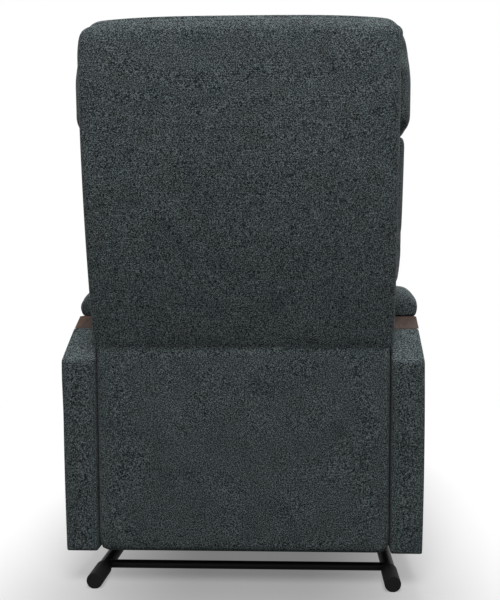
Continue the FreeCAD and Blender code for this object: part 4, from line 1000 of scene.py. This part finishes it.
class RECLINER_OT_pads(bpy.types.Operator):
    """Makes the cushions and pads, fills them and gathers their seams"""

    bl_idname = "recliner.pads"
    bl_label = "Cushions and pads"

    def execute(self, context):
        sizes = context.scene.recliner_sizes
        pads = [self.back_cushion(sizes, *row) for row in BACK_CUSHIONS]
        pads += [self.seat(sizes), self.footrest(sizes)]
        pads += [self.arm_pad(sizes, name) for name in ("left", "right")]
        puff(pads, sizes.pressure, sizes.puff_frames)
        for pad in pads:
            self.gather(sizes, pad)
        self.back_apron()
        self.footboard_wrap()
        self.seat_front_wrap()
        return {"FINISHED"}

    @staticmethod
    def gather(sizes, pad):
        """Puckers a pad beside its seams, and keeps it within its own room."""
        low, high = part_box(pad.node)
        vertices = pad.piece.data.vertices
        normals = [vertex.normal.copy() for vertex in vertices]
        for vertex, normal in zip(vertices, normals):
            spot = vertex.co.copy()
            near = min(abs(spot[pad.axis] - seam) for seam in pad.seams)
            flat = spot.copy()
            flat[pad.axis] = 0
            fold = sizes.pucker * ripple(flat, GATHER_SCALE, GATHER_SEED)
            spot -= normal * (fold * math.exp(-near / GATHER_REACH))
            for index, slack in enumerate(PAD_SLACK):
                spot[index] = min(high[index] + slack, max(low[index] - slack, spot[index]))
            vertex.co = spot

    @staticmethod
    def seat_front_wrap():
        """Fabric over the seat's front rail, seen when the footrest is up."""
        low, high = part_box("seat_front_rail")
        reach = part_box("footboard")[1].x
        mesh = block_mesh(
            (-reach, low.y - RAIL_CLOTH, low.z - RAIL_TURN), (reach, low.y - HAIR, high.z)
        )
        round_edges(mesh, mesh.edges[:], RAIL_CLOTH_EDGE, 2)
        slice_mesh(mesh, 0, even_places(-reach + WRAP_END, reach - WRAP_END, WRAP_GRID))
        finish_piece("seat_front_wrap", mesh, "chassis", 0)

    @staticmethod
    def back_apron():
        """A thin padded flap that closes the gap between the lower back cushion and the seat."""
        low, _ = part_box("lower_back_cushion")
        half = -low.x - APRON_INSET
        front = low.y + APRON_BEHIND
        mesh = soft_block(
            (-half, front, low.z - APRON_BELOW),
            (half, front + APRON_THICK, low.z + APRON_ABOVE),
            APRON_RADIUS, APRON_GRID,
        )
        for vertex in mesh.verts:
            vertex.co.y += APRON_WAVE * ripple(vertex.co, 14.0, 11.0)
        flap = finish_piece("back_apron", mesh, "back")

    @staticmethod
    def footboard_wrap():
        """Fabric pulled round the footboard's edges and back."""
        low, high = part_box("footboard")
        mesh = block_mesh(
            low - Vector((BOARD_CLOTH, BOARD_CLOTH_FRONT, BOARD_CLOTH)),
            high + Vector((BOARD_CLOTH,) * 3),
        )
        round_edges(mesh, mesh.edges[:], BOARD_CLOTH_EDGE, 2)
        for axis in (0, 2):
            places = even_places(low[axis] + WRAP_END, high[axis] - WRAP_END, WRAP_GRID)
            slice_mesh(mesh, axis, places)
        finish_piece("footboard_wrap", mesh, "footboard_group", 0)

    @staticmethod
    def make_pad(mesh, name, node, body, axis, radius, held, cap, draw):
        """Draws in the rings of a pad's two seams, and pins them and the points that are held."""
        mesh.verts.index_update()
        mesh.normal_update()
        ends = [vertex.co[axis] for vertex in mesh.verts]
        seams = (min(ends) + radius, max(ends) - radius)
        pinned = {vertex.index for vertex in mesh.verts if held(vertex)}
        for vertex in mesh.verts:
            if any(abs(vertex.co[axis] - seam) < HAIR for seam in seams):
                vertex.co -= vertex.normal * draw
                pinned.add(vertex.index)
        piece = finish_piece(name, mesh, body)
        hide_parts(node)
        return Pad(piece, pinned, cap, axis, seams, node)

    def back_cushion(self, sizes, name, node, radius, proud, square, narrow):
        """A cushion on the leaning back: squarer at its ends, and narrower at top and bottom."""
        low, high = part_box(node)
        thick = depth_of(low.y) - lean_depth(low.z, COVER_DEPTH) - BACK_ROOM
        flat_low = Vector((low.x - proud, 0.0, low.z + BACK_LOW_GAP - square))
        flat_high = Vector((high.x + proud, thick, high.z - BACK_HIGH_GAP + square))
        mesh = soft_block(flat_low, flat_high, radius, sizes.grid_step)
        middle = (flat_low.z + flat_high.z) / 2
        half = (flat_high.z - flat_low.z) / 2 - square
        to_top, to_bottom = narrow
        for vertex in mesh.verts:
            vertex.co.z = min(middle + half, max(middle - half, vertex.co.z))
            across = abs(vertex.co.x) / high.x
            upward = (vertex.co.z - middle) / half
            narrower = to_top * ease(upward, *TOP_NARROWING)
            narrower += to_bottom * ease(-upward, *BOTTOM_NARROWING)
            vertex.co.x *= 1 - narrower
            thin = BACK_CROWN * (across ** 3 * CROWN_ACROSS + upward ** 2 * CROWN_UPWARD)
            forward = vertex.co.y / thick * (thick - FRONT_ROOM - thin)
            depth = lean_depth(vertex.co.z, COVER_DEPTH) + forward + HAIR
            vertex.co.y = REAR_Y - depth
        return self.make_pad(
            mesh, name, node, "back", 0, radius,
            lambda vertex: vertex.normal.y > 0.55, BACK_CAP, sizes.seam_draw,
        )

    def seat(self, sizes):
        """The seat cushion, lifted at the front to rest on the front rail."""
        low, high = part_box("seat_cushion")
        flat_low = low + Vector((PAD_INSET, PAD_INSET, SEAT_LOW_GAP))
        flat_high = high - Vector((PAD_INSET, 0.0, SEAT_HIGH_GAP))
        mesh = soft_block(flat_low, flat_high, SEAT_RADIUS, sizes.grid_step * SEAT_GRID_SHARE)
        front = depth_of(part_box("seat_front_rail")[0].y)
        for vertex in mesh.verts:
            depth = depth_of(vertex.co.y)
            share = (vertex.co.z - flat_low.z) / (flat_high.z - flat_low.z)
            lift = ease(depth, front + SEAT_LIFT_START, front + SEAT_LIFT_END)
            vertex.co.z += SEAT_LIFT * lift * (1 - share)
            across = abs(vertex.co.x) / high.x
            vertex.co.z -= SEAT_CROWN * across ** 4 * share
        return self.make_pad(
            mesh, "seat_pad", "seat_cushion", "chassis", 0, SEAT_RADIUS,
            lambda vertex: vertex.normal.z < -0.5 or vertex.co.z < flat_low.z + SEAT_HELD,
            SEAT_CAP, sizes.seam_draw,
        )

    def footrest(self, sizes):
        """The footrest's cushion, flat against the footboard."""
        low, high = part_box("footrest_pad")
        flat_low = low + Vector((PAD_INSET, FOOTREST_FRONT_GAP, PAD_INSET))
        flat_high = high - Vector((PAD_INSET, -FOOTREST_CUT, PAD_INSET))
        board = high.y - HAIR
        mesh = soft_block(flat_low, flat_high, FOOTREST_RADIUS, sizes.grid_step)
        for vertex in mesh.verts:
            vertex.co.y = min(board, vertex.co.y)
        return self.make_pad(
            mesh, "footrest_cushion", "footrest_pad", "footboard_group", 0, FOOTREST_RADIUS,
            lambda vertex: vertex.co.y > board - HELD_BAND, FOOTREST_CAP, sizes.seam_draw,
        )

    def arm_pad(self, sizes, name):
        """An arm's pad, flat below, crowned across and domed at its rear end."""
        node = "arm_pad_" + name
        low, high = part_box(node)
        inset = ARM_PAD_INSET
        flat_low = low + Vector((inset, inset, ARM_PAD_SUNK - ARM_PAD_RADIUS))
        flat_high = high - Vector((inset, inset, inset))
        mesh = soft_block(flat_low, flat_high, ARM_PAD_RADIUS, sizes.grid_step)
        middle = (low + high) / 2
        half = (high - low) / 2
        for vertex in mesh.verts:
            vertex.co.z = max(vertex.co.z, low.z + HAIR)
            share = (vertex.co.z - low.z) / (high.z - low.z)
            outward = (vertex.co.x - middle.x) / half.x
            along = abs(vertex.co.y - middle.y) / half.y
            bulge = ARM_PAD_BULGE + ARM_PAD_BELLY * math.sin(math.pi * share)
            vertex.co.z -= ARM_PAD_CROWN * abs(outward) ** 3 * share
            vertex.co.x += outward * (bulge - ARM_PAD_TAPER * share ** 3)
            vertex.co.z -= ARM_PAD_END_DROP * along ** 24 * share
            rear = min(1.0, (high.y - vertex.co.y + ARM_PAD_DOME_START) / ARM_PAD_DOME)
            vertex.co.z = low.z + (vertex.co.z - low.z) * math.sqrt(1 - (1 - rear) ** 2)
        return self.make_pad(
            mesh, node + "_cushion", node, "chassis", 1, ARM_PAD_RADIUS,
            lambda vertex: vertex.co.z < low.z + HELD_BAND,
            ARM_PAD_CAP, sizes.seam_draw * ARM_PAD_DRAW,
        )


class RECLINER_PT_panel(bpy.types.Panel):
    """Lists the recliner's sizes, colours and steps"""

    bl_label = "Wall hugger recliner"
    bl_idname = "RECLINER_PT_panel"
    bl_space_type = "VIEW_3D"
    bl_region_type = "UI"
    bl_category = "Recliner"

    def draw(self, context):
        layout = self.layout
        for settings in (context.scene.recliner_sizes, context.scene.recliner_colours):
            column = layout.column()
            for name in settings.__annotations__:
                column.prop(settings, name)
        for step in STEPS:
            layout.operator(step.bl_idname)


STEPS = (
    RECLINER_OT_camera,
    RECLINER_OT_finishes,
    RECLINER_OT_outside_back,
    RECLINER_OT_arm_panels,
    RECLINER_OT_pads,
    RECLINER_OT_stage,
)
SETTINGS = (ReclinerSizes, ReclinerColours)


def register():
    for made in (*SETTINGS, *STEPS, RECLINER_PT_panel):
        bpy.utils.register_class(made)
    bpy.types.Scene.recliner_sizes = PointerProperty(type=ReclinerSizes)
    bpy.types.Scene.recliner_colours = PointerProperty(type=ReclinerColours)


def unregister():
    del bpy.types.Scene.recliner_colours
    del bpy.types.Scene.recliner_sizes
    for made in (RECLINER_PT_panel, *reversed(STEPS), *reversed(SETTINGS)):
        bpy.utils.unregister_class(made)


def main():
    register()
    for step in STEPS:
        group, name = step.bl_idname.split(".")
        getattr(getattr(bpy.ops, group), name)()


if __name__ == "__main__":
    main()
